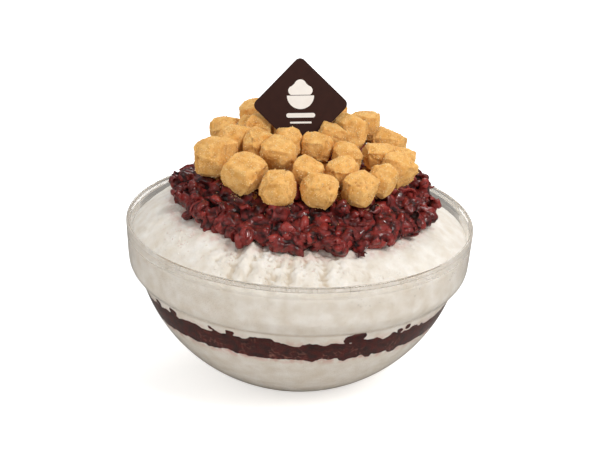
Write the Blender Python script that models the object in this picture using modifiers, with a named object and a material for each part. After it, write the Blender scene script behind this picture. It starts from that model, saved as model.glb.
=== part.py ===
"""Bingsu in a clear glass bowl: shaved milk ice, red-bean layers, a heap of rice cakes and a tag.

Units are metres, +Z is up, and the origin is the centre of the bowl's foot.
"""

import math
import random

import bmesh
import bpy
import numpy as np
from mathutils import Matrix, Vector, noise

MM = 0.001
GAP = 0.3 * MM  # clearance kept between pieces that touch
STEPS = 40  # facets round every turned piece
MERGE = 0.02 * MM

# Bowl: rolled rim, stacking band, ledge, rounded body and flat foot
RIM_RADIUS = 85 * MM
BOWL_HEIGHT = 80.3 * MM
WALL = 3 * MM
BAND_RADIUS = 83.6 * MM
BAND_BOTTOM = 59.4 * MM
LEDGE_RADIUS = 78 * MM
LEDGE_HEIGHT = 52.5 * MM
FOOT_RADIUS = 30 * MM
BODY_BULGE = 0.118  # sagitta of the body's arc over its chord
BODY_SEGMENTS = 6
LEDGE_SEGMENTS = 3

# Heights of the layers in the bowl, before the uneven filling shifts them
LOWER_ICE_TOP = 37.3 * MM
BEAN_LAYER_TOP = 47.7 * MM
ICE_AT_GLASS = 74 * MM

# Free top of the upper ice as (radius, height), from its middle to the glass
ICE_CROWN = ((0, 95), (32, 93.2), (54, 89.4), (64, 86.6), (69, 84), (73.5, 81), (78, 77.2))

# Uneven filling: a lean down towards +X, slow waves and a shift of the mound towards +X.
# Each is weighted at these heights, in millimetres.
LEAN = 0.035
MOUND_SHIFT = 1.5 * MM
WAVE = 1.1 * MM
WAVE_LENGTH = 26 * MM
UNEVEN_HEIGHTS = (3.3, 36, 49, 54.5, 74, 85, 120)
LEAN_WEIGHTS = (0, 0.3, 0.3, 0, 0.2, 1, 1)
WAVE_WEIGHTS = (0, 1, 1, 0, 0.5, 0, 0)
SHIFT_WEIGHTS = (0, 0, 0, 0, 0, 1, 1)

# Red beans on top: a shallow dome with a thick lumpy edge
DOME_TOP = 115 * MM
DOME_FALL = 4.2  # fall of the dome, in metres for each square metre of radius
DOME_RADII = (0, 22, 40, 52, 59.5)
BEAN_EDGE = ((63.6, 98.3), (66, 94.6), (66.2, 90.4), (63.6, 87.2))
LUMP_HEIGHT = 1.6 * MM
LUMP_LENGTH = 11 * MM
LUMP_START = 52 * MM

# Rice cakes: rings of (ring radius, lift above the beans, ((azimuth in degrees, width), ...))
RINGS = (
    (43, 0, ((-160, 19), (-128, 19), (-39, 16), (-17, 16), (3, 16), (27, 16))),
    (45, 0, ((-105, 16), (-81, 17), (-58, 16))),
    (43, 3.5, ((52, 17), (76, 17), (98, 17), (122, 18))),
    (43.5, 0, ((149, 17),)),
    (33, 0.3, ((180, 17), (-88, 15), (-62, 15), (-5, 15), (86, 17), (114, 16), (141, 16))),
    (23, 0.6, ((-155, 16), (-121, 18), (-37, 15), (35, 19), (70, 16), (108, 16), (158, 16))),
    (12, 0.6, ((-135, 15), (-65, 15), (20, 15), (150, 15))),
    (17, 4.5, ((80, 15), (127, 16))),
)
CAKE_HEIGHT = 0.92  # mean height of a cake over its width
CAKE_CORNER = 0.13  # how far a corner strays, over the half width
CAKE_SQUARENESS = 3.4  # 2 is a ball, large is a box
CAKE_WELD = 0.6 * MM  # closer vertices of a cake become one
CAKE_TURN = math.radians(35)
CAKE_LEAN = math.radians(24)
CAKE_REST = 0.43  # height of a cake's centre above the beans, over its own height
SEED = 5

# Tag: a plate standing on a rounded corner and leaning back
TAG_SIDE = 33.6 * MM
TAG_THICKNESS = 2 * MM
TAG_CORNER = 3 * MM
TAG_CENTRE = Vector((-1.9, 10.5, 134.6)) * MM
TAG_LEAN_BACK = math.radians(22)
TAG_ROLL = math.radians(-3)


def clear_scene():
    """Remove every object that the file opened with."""
    for obj in list(bpy.data.objects):
        bpy.data.objects.remove(obj, do_unlink=True)


def new_collection(name, hidden=False):
    """Make a collection in the scene."""
    collection = bpy.data.collections.new(name)
    bpy.context.scene.collection.children.link(collection)
    collection.hide_render = hidden
    return collection


def make_material(name, colour, roughness, transmission=0.0):
    """Make a plain Principled material."""
    material = bpy.data.materials.new(name)
    material.use_nodes = True
    shader = material.node_tree.nodes["Principled BSDF"]
    shader.inputs["Base Color"].default_value = (*colour, 1)
    shader.inputs["Roughness"].default_value = roughness
    shader.inputs["Metallic"].default_value = 0
    shader.inputs["Transmission Weight"].default_value = transmission
    material.diffuse_color = (*colour, 1)
    return material


def add_object(name, mesh, collection, material=None):
    """Put a mesh in the scene under a name."""
    obj = bpy.data.objects.new(name, mesh)
    collection.objects.link(obj)
    if material:
        obj.data.materials.append(material)
    return obj


def mesh_from(name, bm, smooth=True):
    """Turn a bmesh into a mesh and free it."""
    mesh = bpy.data.meshes.new(name)
    bm.to_mesh(mesh)
    bm.free()
    if smooth:
        mesh.shade_smooth()
        mesh.set_sharp_from_angle(angle=math.radians(40))
    return mesh


def turned(name, profile, collection, material):
    """Turn an (r, z) profile about Z; its outer side runs from top to bottom."""
    edges = [(i, i + 1) for i in range(len(profile) - 1)]
    mesh = bpy.data.meshes.new(name)
    mesh.from_pydata([(r, 0, z) for r, z in profile], edges, [])
    obj = add_object(name, mesh, collection, material)
    screw = obj.modifiers.new("turn", "SCREW")
    screw.steps = STEPS
    screw.render_steps = STEPS
    screw.use_merge_vertices = True
    screw.merge_threshold = MERGE
    screw.use_smooth_shade = True
    return obj


def reshaped(obj, move):
    """Apply an object's modifiers, then move each vertex by a rule."""
    graph = bpy.context.evaluated_depsgraph_get()
    mesh = bpy.data.meshes.new_from_object(obj.evaluated_get(graph))
    for vertex in mesh.vertices:
        vertex.co = move(vertex.co)
    mesh.set_sharp_from_angle(angle=math.radians(40))
    obj.modifiers.clear()
    obj.data = mesh
    return obj


# ---------------------------------------------------------------- bowl


def arc(start, end, bulge, segments):
    """Points after start, up to end, on an arc whose sagitta is bulge times its chord."""
    start, end = Vector(start), Vector(end)
    chord = (end - start).length
    along = (end - start) / chord
    outward = Vector((-along.y, along.x))
    sagitta = bulge * chord
    radius = chord**2 / (8 * sagitta) + sagitta / 2
    half_angle = math.asin(chord / (2 * radius))
    points = []
    for i in range(1, segments + 1):
        angle = half_angle * (2 * i / segments - 1)
        offset = along * (radius * math.sin(angle) + chord / 2)
        rise = outward * (radius * math.cos(angle) - (radius - sagitta))
        points.append(tuple(start + offset + rise))
    return points


def bezier(start, control, end, segments):
    """Points after start, up to end, on a quadratic curve."""
    start, control, end = Vector(start), Vector(control), Vector(end)
    points = []
    for i in range(1, segments + 1):
        t = i / segments
        point = start * (1 - t) ** 2 + control * 2 * t * (1 - t) + end * t**2
        points.append(tuple(point))
    return points


def bowl_outline():
    """Outer face of the bowl as (r, z), from under the rim's roll to the foot's centre."""
    top = (RIM_RADIUS, BOWL_HEIGHT - WALL / 2)
    band = (BAND_RADIUS, BAND_BOTTOM)
    ledge = (LEDGE_RADIUS, LEDGE_HEIGHT)
    control = (
        BAND_RADIUS - 0.3 * (BAND_RADIUS - LEDGE_RADIUS),
        LEDGE_HEIGHT + 0.35 * (BAND_BOTTOM - LEDGE_HEIGHT),
    )
    curve = bezier(band, control, ledge, LEDGE_SEGMENTS)
    body = arc(ledge, (FOOT_RADIUS, 0), BODY_BULGE, BODY_SEGMENTS)
    return [top, band, *curve, *body, (0, 0)]


def inset(outline, distance):
    """Offset an outline that runs top to bottom towards the inside of the bowl."""
    points = [Vector(point) for point in outline]
    normals = []
    for here, there in zip(points, points[1:]):
        along = (there - here).normalized()
        normals.append(Vector((along.y, -along.x)))
    normals = [normals[0], *normals, normals[-1]]
    result = []
    for point, before, after in zip(points, normals, normals[1:]):
        mitre = (before + after).normalized()
        moved = point + mitre * distance / mitre.dot(after)
        result.append((max(moved.x, 0), moved.y))
    return result


def rim_roll():
    """Half-round rim as (r, z), from the inner face over to the outer face."""
    centre = RIM_RADIUS - WALL / 2
    points = []
    for degrees in (-60, -20, 20, 60):
        angle = math.radians(degrees)
        rise = WALL / 2 * math.cos(angle)
        points.append((centre + WALL / 2 * math.sin(angle), BOWL_HEIGHT - WALL / 2 + rise))
    return points


def make_bowl(parts):
    """Clear glass bowl with an open top."""
    glass = make_material("clear_glass", (0.92, 0.93, 0.92), 0.05, transmission=1.0)
    outside = bowl_outline()
    inside = inset(outside, WALL)
    return turned("bowl", [*reversed(inside), *rim_roll(), *outside], parts, glass)


# ---------------------------------------------------------------- filling


def filling_outline():
    """Face of the filling against the glass as (r, z), from top to bottom."""
    return inset(bowl_outline(), WALL + GAP)


def filling_radius(height):
    """Radius of the filling against the glass at a height."""
    side = filling_outline()[:-1]
    radii, heights = zip(*reversed(side))
    return float(np.interp(height, heights, radii))


def side_points(high, low):
    """Side of a layer between two heights, from top to bottom."""
    between = [point for point in filling_outline() if low < point[1] < high]
    return [(filling_radius(high), high), *between, (filling_radius(low), low)]


def flat_points(height, fractions):
    """Points across a level interface, at fractions of its radius."""
    return [(filling_radius(height) * fraction, height) for fraction in fractions]


def uneven(co):
    """Shift a point of the filling: the layers lean and wave, and keep to the glass."""
    x, y, z = co
    lean, wave, shift = (
        float(np.interp(z / MM, UNEVEN_HEIGHTS, weights))
        for weights in (LEAN_WEIGHTS, WAVE_WEIGHTS, SHIFT_WEIGHTS)
    )
    swell = noise.noise(Vector((x, y, z / 2)) / WAVE_LENGTH)
    height = z - LEAN * x * lean + WAVE * swell * wave
    scale = filling_radius(height) / filling_radius(z)
    return Vector((x * scale + MOUND_SHIFT * shift, y * scale, height))


def make_lower_ice(parts, ice):
    """Shaved ice in the bottom of the bowl."""
    top = flat_points(LOWER_ICE_TOP, (0, 0.35, 0.7))
    side = [point for point in filling_outline() if point[1] < LOWER_ICE_TOP]
    rim = (filling_radius(LOWER_ICE_TOP), LOWER_ICE_TOP)
    return reshaped(turned("ice_lower", [*top, rim, *side], parts, ice), uneven)


def make_bean_layer(parts, bean):
    """Red-bean layer that runs right through the ice."""
    top = flat_points(BEAN_LAYER_TOP, (0, 0.35, 0.7))
    bottom = flat_points(LOWER_ICE_TOP + GAP, (0.7, 0.35, 0))
    side = side_points(BEAN_LAYER_TOP, LOWER_ICE_TOP + GAP)
    return reshaped(turned("bean_layer", [*top, *side, *bottom], parts, bean), uneven)


def make_upper_ice(parts, ice):
    """Shaved ice from the bean layer up to its crown."""
    crown = [(r * MM, z * MM) for r, z in ICE_CROWN]
    side = side_points(ICE_AT_GLASS, BEAN_LAYER_TOP + GAP)
    bottom = flat_points(BEAN_LAYER_TOP + GAP, (0.7, 0.35, 0))
    return reshaped(turned("ice_upper", [*crown, *side, *bottom], parts, ice), uneven)


def dome_height(radius):
    """Height of the smooth top of the beans at a radius."""
    return DOME_TOP - DOME_FALL * radius**2


def lumpy(co):
    """Press hollows into the exposed ring of the beans, outside the heap."""
    moved = uneven(co)
    radius = math.hypot(co.x, co.y)
    if radius < LUMP_START or co.z < 88 * MM:
        return moved
    fade = min(1, (radius - LUMP_START) / (8 * MM))
    hollow = 0.5 + 0.5 * noise.noise(co / LUMP_LENGTH)
    moved -= Vector((co.x / radius, co.y / radius, 0.7)) * hollow * LUMP_HEIGHT * fade
    return moved


def tag_matrix():
    """Place of the tag: leaning back, turned on to a corner."""
    lean = Matrix.Rotation(-TAG_LEAN_BACK, 4, "X")
    corner = Matrix.Rotation(math.radians(45) + TAG_ROLL, 4, "Y")
    return Matrix.Translation(TAG_CENTRE) @ lean @ corner


def plate(name, side, thickness, corner):
    """Square plate in the XZ plane with rounded corners."""
    bm = bmesh.new()
    bmesh.ops.create_cube(bm, size=1)
    bmesh.ops.scale(bm, vec=(side, thickness, side), verts=bm.verts)
    across = [e for e in bm.edges if abs(e.verts[0].co.y - e.verts[1].co.y) > thickness / 2]
    bmesh.ops.bevel(bm, geom=across, offset=corner, segments=4, profile=0.5, affect="EDGES")
    return mesh_from(name, bm)


def make_tag(parts):
    """Dark chocolate-coloured tag."""
    brown = make_material("tag_brown", (0.045, 0.018, 0.014), 0.4)
    mesh = plate("tag", TAG_SIDE, TAG_THICKNESS, TAG_CORNER)
    tag = add_object("tag", mesh, parts, brown)
    tag.matrix_world = tag_matrix()
    return tag


def make_bean_topping(parts, cutters, bean):
    """Thick red-bean topping with a slot for the tag's tip."""
    top = [(r * MM, dome_height(r * MM)) for r in DOME_RADII]
    edge = [(r * MM, z * MM) for r, z in BEAN_EDGE]
    under = [(r * MM, z * MM + GAP) for r, z in reversed(ICE_CROWN) if r < 60]
    topping = reshaped(turned("bean_topping", [*top, *edge, *under], parts, bean), lumpy)
    mesh = plate("slot", TAG_SIDE + 2 * GAP, TAG_THICKNESS + 2 * GAP, TAG_CORNER + GAP)
    slot = add_object("tag_slot", mesh, cutters)
    slot.matrix_world = tag_matrix()
    slot.hide_render = True
    slot.display_type = "WIRE"
    cut = topping.modifiers.new("slot", "BOOLEAN")
    cut.operation = "DIFFERENCE"
    cut.solver = "EXACT"
    cut.object = slot
    return topping


# ---------------------------------------------------------------- rice cakes


class Cake:
    """Place and size of one rice cake."""

    def __init__(self, azimuth, radius, lift, width, rng):
        angle = math.radians(azimuth)
        radius += rng.uniform(-0.8, 0.8) * MM
        x, y = radius * math.cos(angle), radius * math.sin(angle)
        shift = Vector((MOUND_SHIFT, 0, 0))
        self.size = Vector((
            width * rng.uniform(0.88, 1.0),
            width,
            width * CAKE_HEIGHT * rng.uniform(0.92, 1.08),
        )) * MM
        self.foot = Vector((x, y, dome_height(radius) - LEAN * x)) + shift
        self.up = Vector((2 * DOME_FALL * x + LEAN, 2 * DOME_FALL * y, 1)).normalized()
        self.centre = self.foot + self.up * (self.size.z * CAKE_REST + lift)
        lean = Matrix.Rotation(rng.uniform(-CAKE_LEAN, CAKE_LEAN), 3, "X")
        turn = Matrix.Rotation(angle + rng.uniform(-CAKE_TURN, CAKE_TURN), 3, "Z")
        self.turn = self.up.to_track_quat("Z", "Y").to_matrix() @ turn @ lean
        self.corners = [
            Vector([rng.uniform(-CAKE_CORNER, CAKE_CORNER) for _ in range(3)]) for _ in range(8)
        ]

    def reach(self):
        """Rough radius of the cake."""
        return sum(self.size) / 6


def heap():
    """Places of all the rice cakes."""
    rng = random.Random(SEED)
    return [
        Cake(azimuth, radius * MM, lift * MM, width, rng)
        for radius, lift, ring in RINGS
        for azimuth, width in ring
    ]


def pillow_point(co, corners):
    """Move a point of a cube of half width 1 on to a pillow with wandering corners."""
    norm = sum(abs(value) ** CAKE_SQUARENESS for value in co) ** (1 / CAKE_SQUARENESS)
    point = co / norm
    stray = Vector((0, 0, 0))
    for index, corner in enumerate(corners):
        signs = [1 if index >> axis & 1 else -1 for axis in range(3)]
        weight = math.prod((1 + sign * value) / 2 for sign, value in zip(signs, point))
        stray += corner * weight
    return point + stray


def clip(bm, point, normal):
    """Cut off what lies beyond a plane and close the cut."""
    cut = bmesh.ops.bisect_plane(
        bm,
        geom=[*bm.verts, *bm.edges, *bm.faces],
        dist=MERGE,
        plane_co=point,
        plane_no=normal,
        clear_outer=True,
    )
    rim = [item for item in cut["geom_cut"] if isinstance(item, bmesh.types.BMEdge)]
    if rim:
        bmesh.ops.edgeloop_fill(bm, edges=rim)


def cake_planes(cake, others):
    """Planes that keep a cake clear of the beans, its neighbours and the tag."""
    planes = [(cake.foot + cake.up * GAP, -cake.up)]
    for other in others:
        apart = other.centre - cake.centre
        share = cake.reach() / (cake.reach() + other.reach())
        if apart.length < 1.8 * (cake.reach() + other.reach()):
            along = apart.normalized()
            planes.append((cake.centre + apart * share - along * GAP / 2, along))
    place = tag_matrix()
    local = place.inverted() @ cake.centre
    margin = TAG_SIDE / 2 + cake.reach() * 1.5
    if abs(local.x) < margin and abs(local.z) < margin:
        side = math.copysign(1, local.y)
        face = Vector((0, side * (TAG_THICKNESS / 2 + GAP), 0))
        planes.append((place @ face, place.to_3x3() @ Vector((0, -side, 0))))
    return planes


def make_cake(name, cake, others, parts, material):
    """One soft cube, pressed flat where it meets its neighbours."""
    bm = bmesh.new()
    bmesh.ops.create_cube(bm, size=2)
    bmesh.ops.subdivide_edges(bm, edges=bm.edges, cuts=2, use_grid_fill=True)
    for vert in bm.verts:
        point = pillow_point(vert.co, cake.corners)
        vert.co = cake.centre + cake.turn @ (point * cake.size / 2)
    hull(bm)
    for point, normal in cake_planes(cake, others):
        clip(bm, point, normal)
    hull(bm)
    return add_object(name, mesh_from(name, bm), parts, material)


def hull(bm):
    """Replace a bmesh by the convex hull of its vertices."""
    bmesh.ops.remove_doubles(bm, verts=bm.verts, dist=CAKE_WELD)
    result = bmesh.ops.convex_hull(bm, input=bm.verts)
    unused = {item for item in result["geom_interior"] + result["geom_unused"]}
    bmesh.ops.delete(bm, geom=[v for v in unused if isinstance(v, bmesh.types.BMVert)], context="VERTS")
    kept = {item for item in result["geom"] if isinstance(item, bmesh.types.BMFace)}
    stale = [face for face in bm.faces if face not in kept]
    bmesh.ops.delete(bm, geom=stale, context="FACES_ONLY")
    bmesh.ops.recalc_face_normals(bm, faces=bm.faces)


def make_heap(parts):
    """All the powdered rice cakes."""
    powder = make_material("soybean_powder", (0.62, 0.33, 0.09), 0.9)
    cakes = heap()
    for number, cake in enumerate(cakes, 1):
        others = [other for other in cakes if other is not cake]
        make_cake(f"rice_cake_{number:02d}", cake, others, parts, powder)


def main():
    """Build the whole dessert."""
    clear_scene()
    parts = new_collection("bingsu")
    cutters = new_collection("cutters", hidden=True)
    ice = make_material("milk_ice", (0.86, 0.82, 0.76), 0.8)
    bean = make_material("red_bean", (0.12, 0.02, 0.015), 0.35)
    make_bowl(parts)
    make_lower_ice(parts, ice)
    make_bean_layer(parts, bean)
    make_upper_ice(parts, ice)
    make_bean_topping(parts, cutters, bean)
    make_tag(parts)
    make_heap(parts)


main()
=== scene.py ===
"""Bingsu in a clear glass bowl: the looks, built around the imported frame.

The bowl, the shaved ice, the bean layer, the bean topping, the rice cakes and the tag are each a class.
Units are metres, +Z is up, and the bowl stands on Z = 0 with its axis at the origin.
"""

from __future__ import annotations

import logging
import math
from collections.abc import Callable, Sequence
from dataclasses import dataclass, field
from enum import Enum
from functools import lru_cache

import bmesh
import bpy
import numpy as np
from mathutils import Matrix, Vector, noise


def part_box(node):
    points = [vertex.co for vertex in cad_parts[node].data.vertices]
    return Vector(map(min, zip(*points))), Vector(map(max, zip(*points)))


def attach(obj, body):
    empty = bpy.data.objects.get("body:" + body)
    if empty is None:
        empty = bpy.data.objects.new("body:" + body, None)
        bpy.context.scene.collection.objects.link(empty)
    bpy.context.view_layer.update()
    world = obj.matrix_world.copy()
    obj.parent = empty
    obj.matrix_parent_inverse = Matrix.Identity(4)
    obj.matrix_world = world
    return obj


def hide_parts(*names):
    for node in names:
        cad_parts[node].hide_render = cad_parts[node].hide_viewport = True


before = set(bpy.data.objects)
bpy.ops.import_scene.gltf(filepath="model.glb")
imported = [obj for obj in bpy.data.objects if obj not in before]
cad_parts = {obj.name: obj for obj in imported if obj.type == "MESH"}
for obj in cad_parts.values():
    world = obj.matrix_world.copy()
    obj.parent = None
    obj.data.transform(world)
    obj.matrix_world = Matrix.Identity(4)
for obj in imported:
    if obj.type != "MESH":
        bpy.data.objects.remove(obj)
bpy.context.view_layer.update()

LOG = logging.getLogger("bingsu")
MM = 0.001
BODY = "root"

Colour = tuple[float, float, float]
Outline = list[tuple[float, float]]


class Slot(Enum):
    """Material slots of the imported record."""

    GLASS = "clear_glass"
    ICE = "milk_ice"
    BEAN = "red_bean"
    POWDER = "soybean_powder"
    TAG = "tag_brown"


def rgb(red: float, green: float, blue: float) -> Colour:
    """Turn a display colour of 0 to 255 into linear light.

    Args:
        red, green, blue: the display colour.

    Returns:
        The linear colour.
    """
    return tuple(((value / 255 + 0.055) / 1.055) ** 2.4 for value in (red, green, blue))


# ---------------------------------------------------------------- node graphs


class Graph:
    """Adds and wires nodes in a shader or geometry node tree."""

    def __init__(self, tree: bpy.types.NodeTree) -> None:
        """Keep the tree."""
        self.tree = tree

    def put(self, value: object, socket: bpy.types.NodeSocket) -> None:
        """Wire an input, or set its plain value.

        Args:
            value: a socket, or a number, a vector or a colour.
            socket: the input that gets it.
        """
        if isinstance(value, bpy.types.NodeSocket):
            self.tree.links.new(value, socket)
        else:
            socket.default_value = (*value[:3], 1) if socket.type == "RGBA" else value

    def add(self, kind: str, inputs: dict | None = None, **settings: object) -> bpy.types.Node:
        """Add a node.

        Args:
            kind: the node's type name.
            inputs: a socket to link or a value to set, by input name or number.
            settings: the node's own properties.

        Returns:
            The node.
        """
        node = self.tree.nodes.new(kind)
        for name, value in settings.items():
            setattr(node, name, value)
        for key, value in (inputs or {}).items():
            self.put(value, node.inputs[key])
        return node

    def math(self, operation: str, *values: object) -> bpy.types.NodeSocket:
        """Add a Math node of the tree's kind and return its value."""
        node = self.add("ShaderNodeMath", dict(enumerate(values)), operation=operation)
        return node.outputs[0]

    def vector(self, operation: str, *values: object) -> bpy.types.NodeSocket:
        """Add a Vector Math node.

        Args:
            operation: the node's operation.
            values: its inputs, as sockets or plain values.

        Returns:
            Its vector.
        """
        node = self.add("ShaderNodeVectorMath", operation=operation)
        sockets = (node.inputs[0], node.inputs["Scale"]) if operation == "SCALE" else node.inputs
        for value, socket in zip(values, sockets):
            self.put(value, socket)
        return node.outputs[0]

    def blend(self, factor: object, first: object, second: object) -> bpy.types.NodeSocket:
        """Mix two colours.

        Args:
            factor: share of the second.
            first: colour at 0.
            second: colour at 1.

        Returns:
            The mixed colour.
        """
        node = self.add("ShaderNodeMix", data_type="RGBA", clamp_factor=True)
        sockets = {socket.identifier: socket for socket in (*node.inputs, *node.outputs)}
        for name, value in (("Factor_Float", factor), ("A_Color", first), ("B_Color", second)):
            self.put(value, sockets[name])
        return sockets["Result_Color"]

    def ramp(self, source: bpy.types.NodeSocket, low: object, high: object) -> bpy.types.NodeSocket:
        """Map low to high of a value on to 0 to 1, clamped."""
        node = self.add("ShaderNodeMapRange", {"Value": source, "From Min": low, "From Max": high})
        return node.outputs[0]

    def link(self, source: bpy.types.NodeSocket, target: bpy.types.NodeSocket) -> None:
        """Wire two sockets."""
        self.tree.links.new(source, target)


SOCKETS = {float: "NodeSocketFloat", int: "NodeSocketInt", tuple: "NodeSocketColor"}


def new_group(name: str, kind: str, inputs: dict, outputs: dict) -> tuple[Graph, dict, dict]:
    """Start a node group with named sockets.

    Args:
        name: the group's name.
        kind: ShaderNodeTree or GeometryNodeTree.
        inputs: a default value, or a socket type name, by input name.
        outputs: a socket type name by output name.

    Returns:
        The graph, its input sockets by name and its output sockets by name.
    """
    tree = bpy.data.node_groups.new(name, kind)
    for label, value in inputs.items():
        sort = value if isinstance(value, str) else SOCKETS[type(value)]
        socket = tree.interface.new_socket(label, in_out="INPUT", socket_type=sort)
        if not isinstance(value, str):
            socket.default_value = (*value, 1) if isinstance(value, tuple) else value
    for label, sort in outputs.items():
        tree.interface.new_socket(label, in_out="OUTPUT", socket_type=sort)
    graph = Graph(tree)
    entry = graph.add("NodeGroupInput")
    leave = graph.add("NodeGroupOutput")
    return graph, {s.name: s for s in entry.outputs if s.name}, {s.name: s for s in leave.inputs if s.name}


@lru_cache(maxsize=None)
def mottle_group() -> bpy.types.NodeTree:
    """Shader group: two colours in soft uneven patches, and the mask of the second.

    Returns:
        The group, with a size and an edge for the patches.
    """
    graph, given, result = new_group(
        "mottle",
        "ShaderNodeTree",
        {
            "Vector": "NodeSocketVector",
            "Size": 6 * MM,
            "Edge": 0.15,
            "Detail": 4.0,
            "First": (0.5, 0.5, 0.5),
            "Second": (0.8, 0.8, 0.8),
        },
        {"Color": "NodeSocketColor", "Mask": "NodeSocketFloat"},
    )
    scale = graph.math("DIVIDE", 1.0, given["Size"])
    cloud = graph.add(
        "ShaderNodeTexNoise", {"Vector": given["Vector"], "Scale": scale, "Detail": given["Detail"]}
    )
    low = graph.math("SUBTRACT", 0.5, given["Edge"])
    high = graph.math("ADD", 0.5, given["Edge"])
    mask = graph.ramp(cloud.outputs[0], low, high)
    graph.link(mask, result["Mask"])
    graph.link(graph.blend(mask, given["First"], given["Second"]), result["Color"])
    return graph.tree


@lru_cache(maxsize=None)
def grain_group() -> bpy.types.NodeTree:
    """Shader group: height of a fine granular surface, with single specks in it.

    Returns:
        The group, with a size for the grains.
    """
    graph, given, result = new_group(
        "grain",
        "ShaderNodeTree",
        {"Vector": "NodeSocketVector", "Size": 0.6 * MM, "Specks": 0.3},
        {"Height": "NodeSocketFloat", "Speck": "NodeSocketFloat"},
    )
    scale = graph.math("DIVIDE", 1.0, given["Size"])
    fine = graph.add(
        "ShaderNodeTexNoise", {"Vector": given["Vector"], "Scale": scale, "Detail": 3.0, "Roughness": 0.65}
    )
    wider = graph.math("MULTIPLY", scale, 0.8)
    cells = graph.add("ShaderNodeTexVoronoi", {"Vector": given["Vector"], "Scale": wider})
    pick = graph.add("ShaderNodeSeparateColor", {"Color": cells.outputs["Color"]}).outputs[0]
    near = graph.ramp(cells.outputs["Distance"], 0.42, 0.2)
    chosen = graph.math("LESS_THAN", pick, given["Specks"])
    speck = graph.math("MULTIPLY", near, chosen)
    graph.link(speck, result["Speck"])
    graph.link(graph.math("ADD", fine.outputs[0], graph.math("MULTIPLY", speck, 0.6)), result["Height"])
    return graph.tree


class Shader(Graph):
    """A material under construction around its Principled BSDF."""

    def __init__(self, name: str, **values: object) -> None:
        """Make the material and set plain values on the shader's own sockets.

        Args:
            name: the material's name.
            values: values by socket name, in lower case.
        """
        self.material = bpy.data.materials.new(name)
        self.material.use_nodes = True
        super().__init__(self.material.node_tree)
        self.bsdf = self.tree.nodes["Principled BSDF"]
        for key, value in values.items():
            self.put(value, self.bsdf.inputs[key.replace("_", " ").title().replace("Ior", "IOR")])
        self.where = self.add("ShaderNodeTexCoord").outputs["Object"]

    def place(self, group: bpy.types.NodeTree, **values: object) -> bpy.types.Node:
        """Place a shader group, reading object coordinates.

        Args:
            group: the group.
            values: its inputs, in lower case.

        Returns:
            The group's node.
        """
        node = self.add("ShaderNodeGroup", node_tree=group)
        self.link(self.where, node.inputs["Vector"])
        for key, value in values.items():
            self.put(value, node.inputs[key.title()])
        return node

    def colour(self, source: bpy.types.NodeSocket) -> None:
        """Feed the base colour."""
        self.link(source, self.bsdf.inputs["Base Color"])

    def rough(self, source: bpy.types.NodeSocket, smooth: float, coarse: float) -> None:
        """Feed the roughness from a mask, between two values."""
        spread = self.add("ShaderNodeMapRange", {"Value": source, "To Min": smooth, "To Max": coarse})
        self.link(spread.outputs[0], self.bsdf.inputs["Roughness"])

    def bump(self, source: bpy.types.NodeSocket, depth: float, strength: float = 1.0) -> None:
        """Feed the normal from a height of 0 to 1."""
        node = self.add("ShaderNodeBump", {"Height": source, "Distance": depth, "Strength": strength})
        self.link(node.outputs[0], self.bsdf.inputs["Normal"])

    def stored(self, name: str, share: float = 1.0) -> bpy.types.NodeSocket:
        """Read a value stored on the mesh, which is 0 where a mesh has none, times a share."""
        value = self.add("ShaderNodeAttribute", attribute_name=name, attribute_type="GEOMETRY").outputs["Fac"]
        return value if share == 1.0 else self.math("MULTIPLY", value, share)


# ---------------------------------------------------------------- finishes


@dataclass(frozen=True)
class GlassFinish:
    """Clear pressed glass with a faint waviness."""

    tint: Colour = (0.95, 0.945, 0.935)
    roughness: float = 0.015
    ior: float = 1.5
    wave_size: float = 26 * MM
    wave_depth: float = 0.12 * MM
    passed: Colour = (0.93, 0.92, 0.91)

    def material(self) -> bpy.types.Material:
        """Make glass that lets the light of lamps and of what stands round it reach what it holds.

        Returns:
            The material.
        """
        shader = Shader(
            "clear_glass", base_color=self.tint, roughness=self.roughness, ior=self.ior,
            transmission_weight=1.0,
        )
        wave = shader.place(mottle_group(), size=self.wave_size, edge=0.5, detail=0.0)
        shader.bump(wave.outputs["Mask"], self.wave_depth)
        clear = shader.add("ShaderNodeBsdfTransparent", {"Color": self.passed})
        path = shader.add("ShaderNodeLightPath")
        shown = shader.bsdf.outputs[0]
        for ray in ("Is Shadow Ray", "Is Diffuse Ray"):
            mix = shader.add("ShaderNodeMixShader", {0: path.outputs[ray], 1: shown, 2: clear.outputs[0]})
            shown = mix.outputs[0]
        shader.link(shown, shader.tree.nodes["Material Output"].inputs["Surface"])
        return shader.material


@dataclass(frozen=True)
class WaterFinish:
    """Condensation on the glass."""

    def material(self) -> bpy.types.Material:
        """Make clear water.

        Returns:
            The material.
        """
        shader = Shader("water", base_color=(1, 1, 1), roughness=0.02, ior=1.33, transmission_weight=1.0)
        film = shader.place(mottle_group(), size=0.4 * MM, first=(0.97, 0.98, 1.0), second=(1.0, 1.0, 1.0))
        shader.colour(film.outputs["Color"])
        return shader.material


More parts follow.
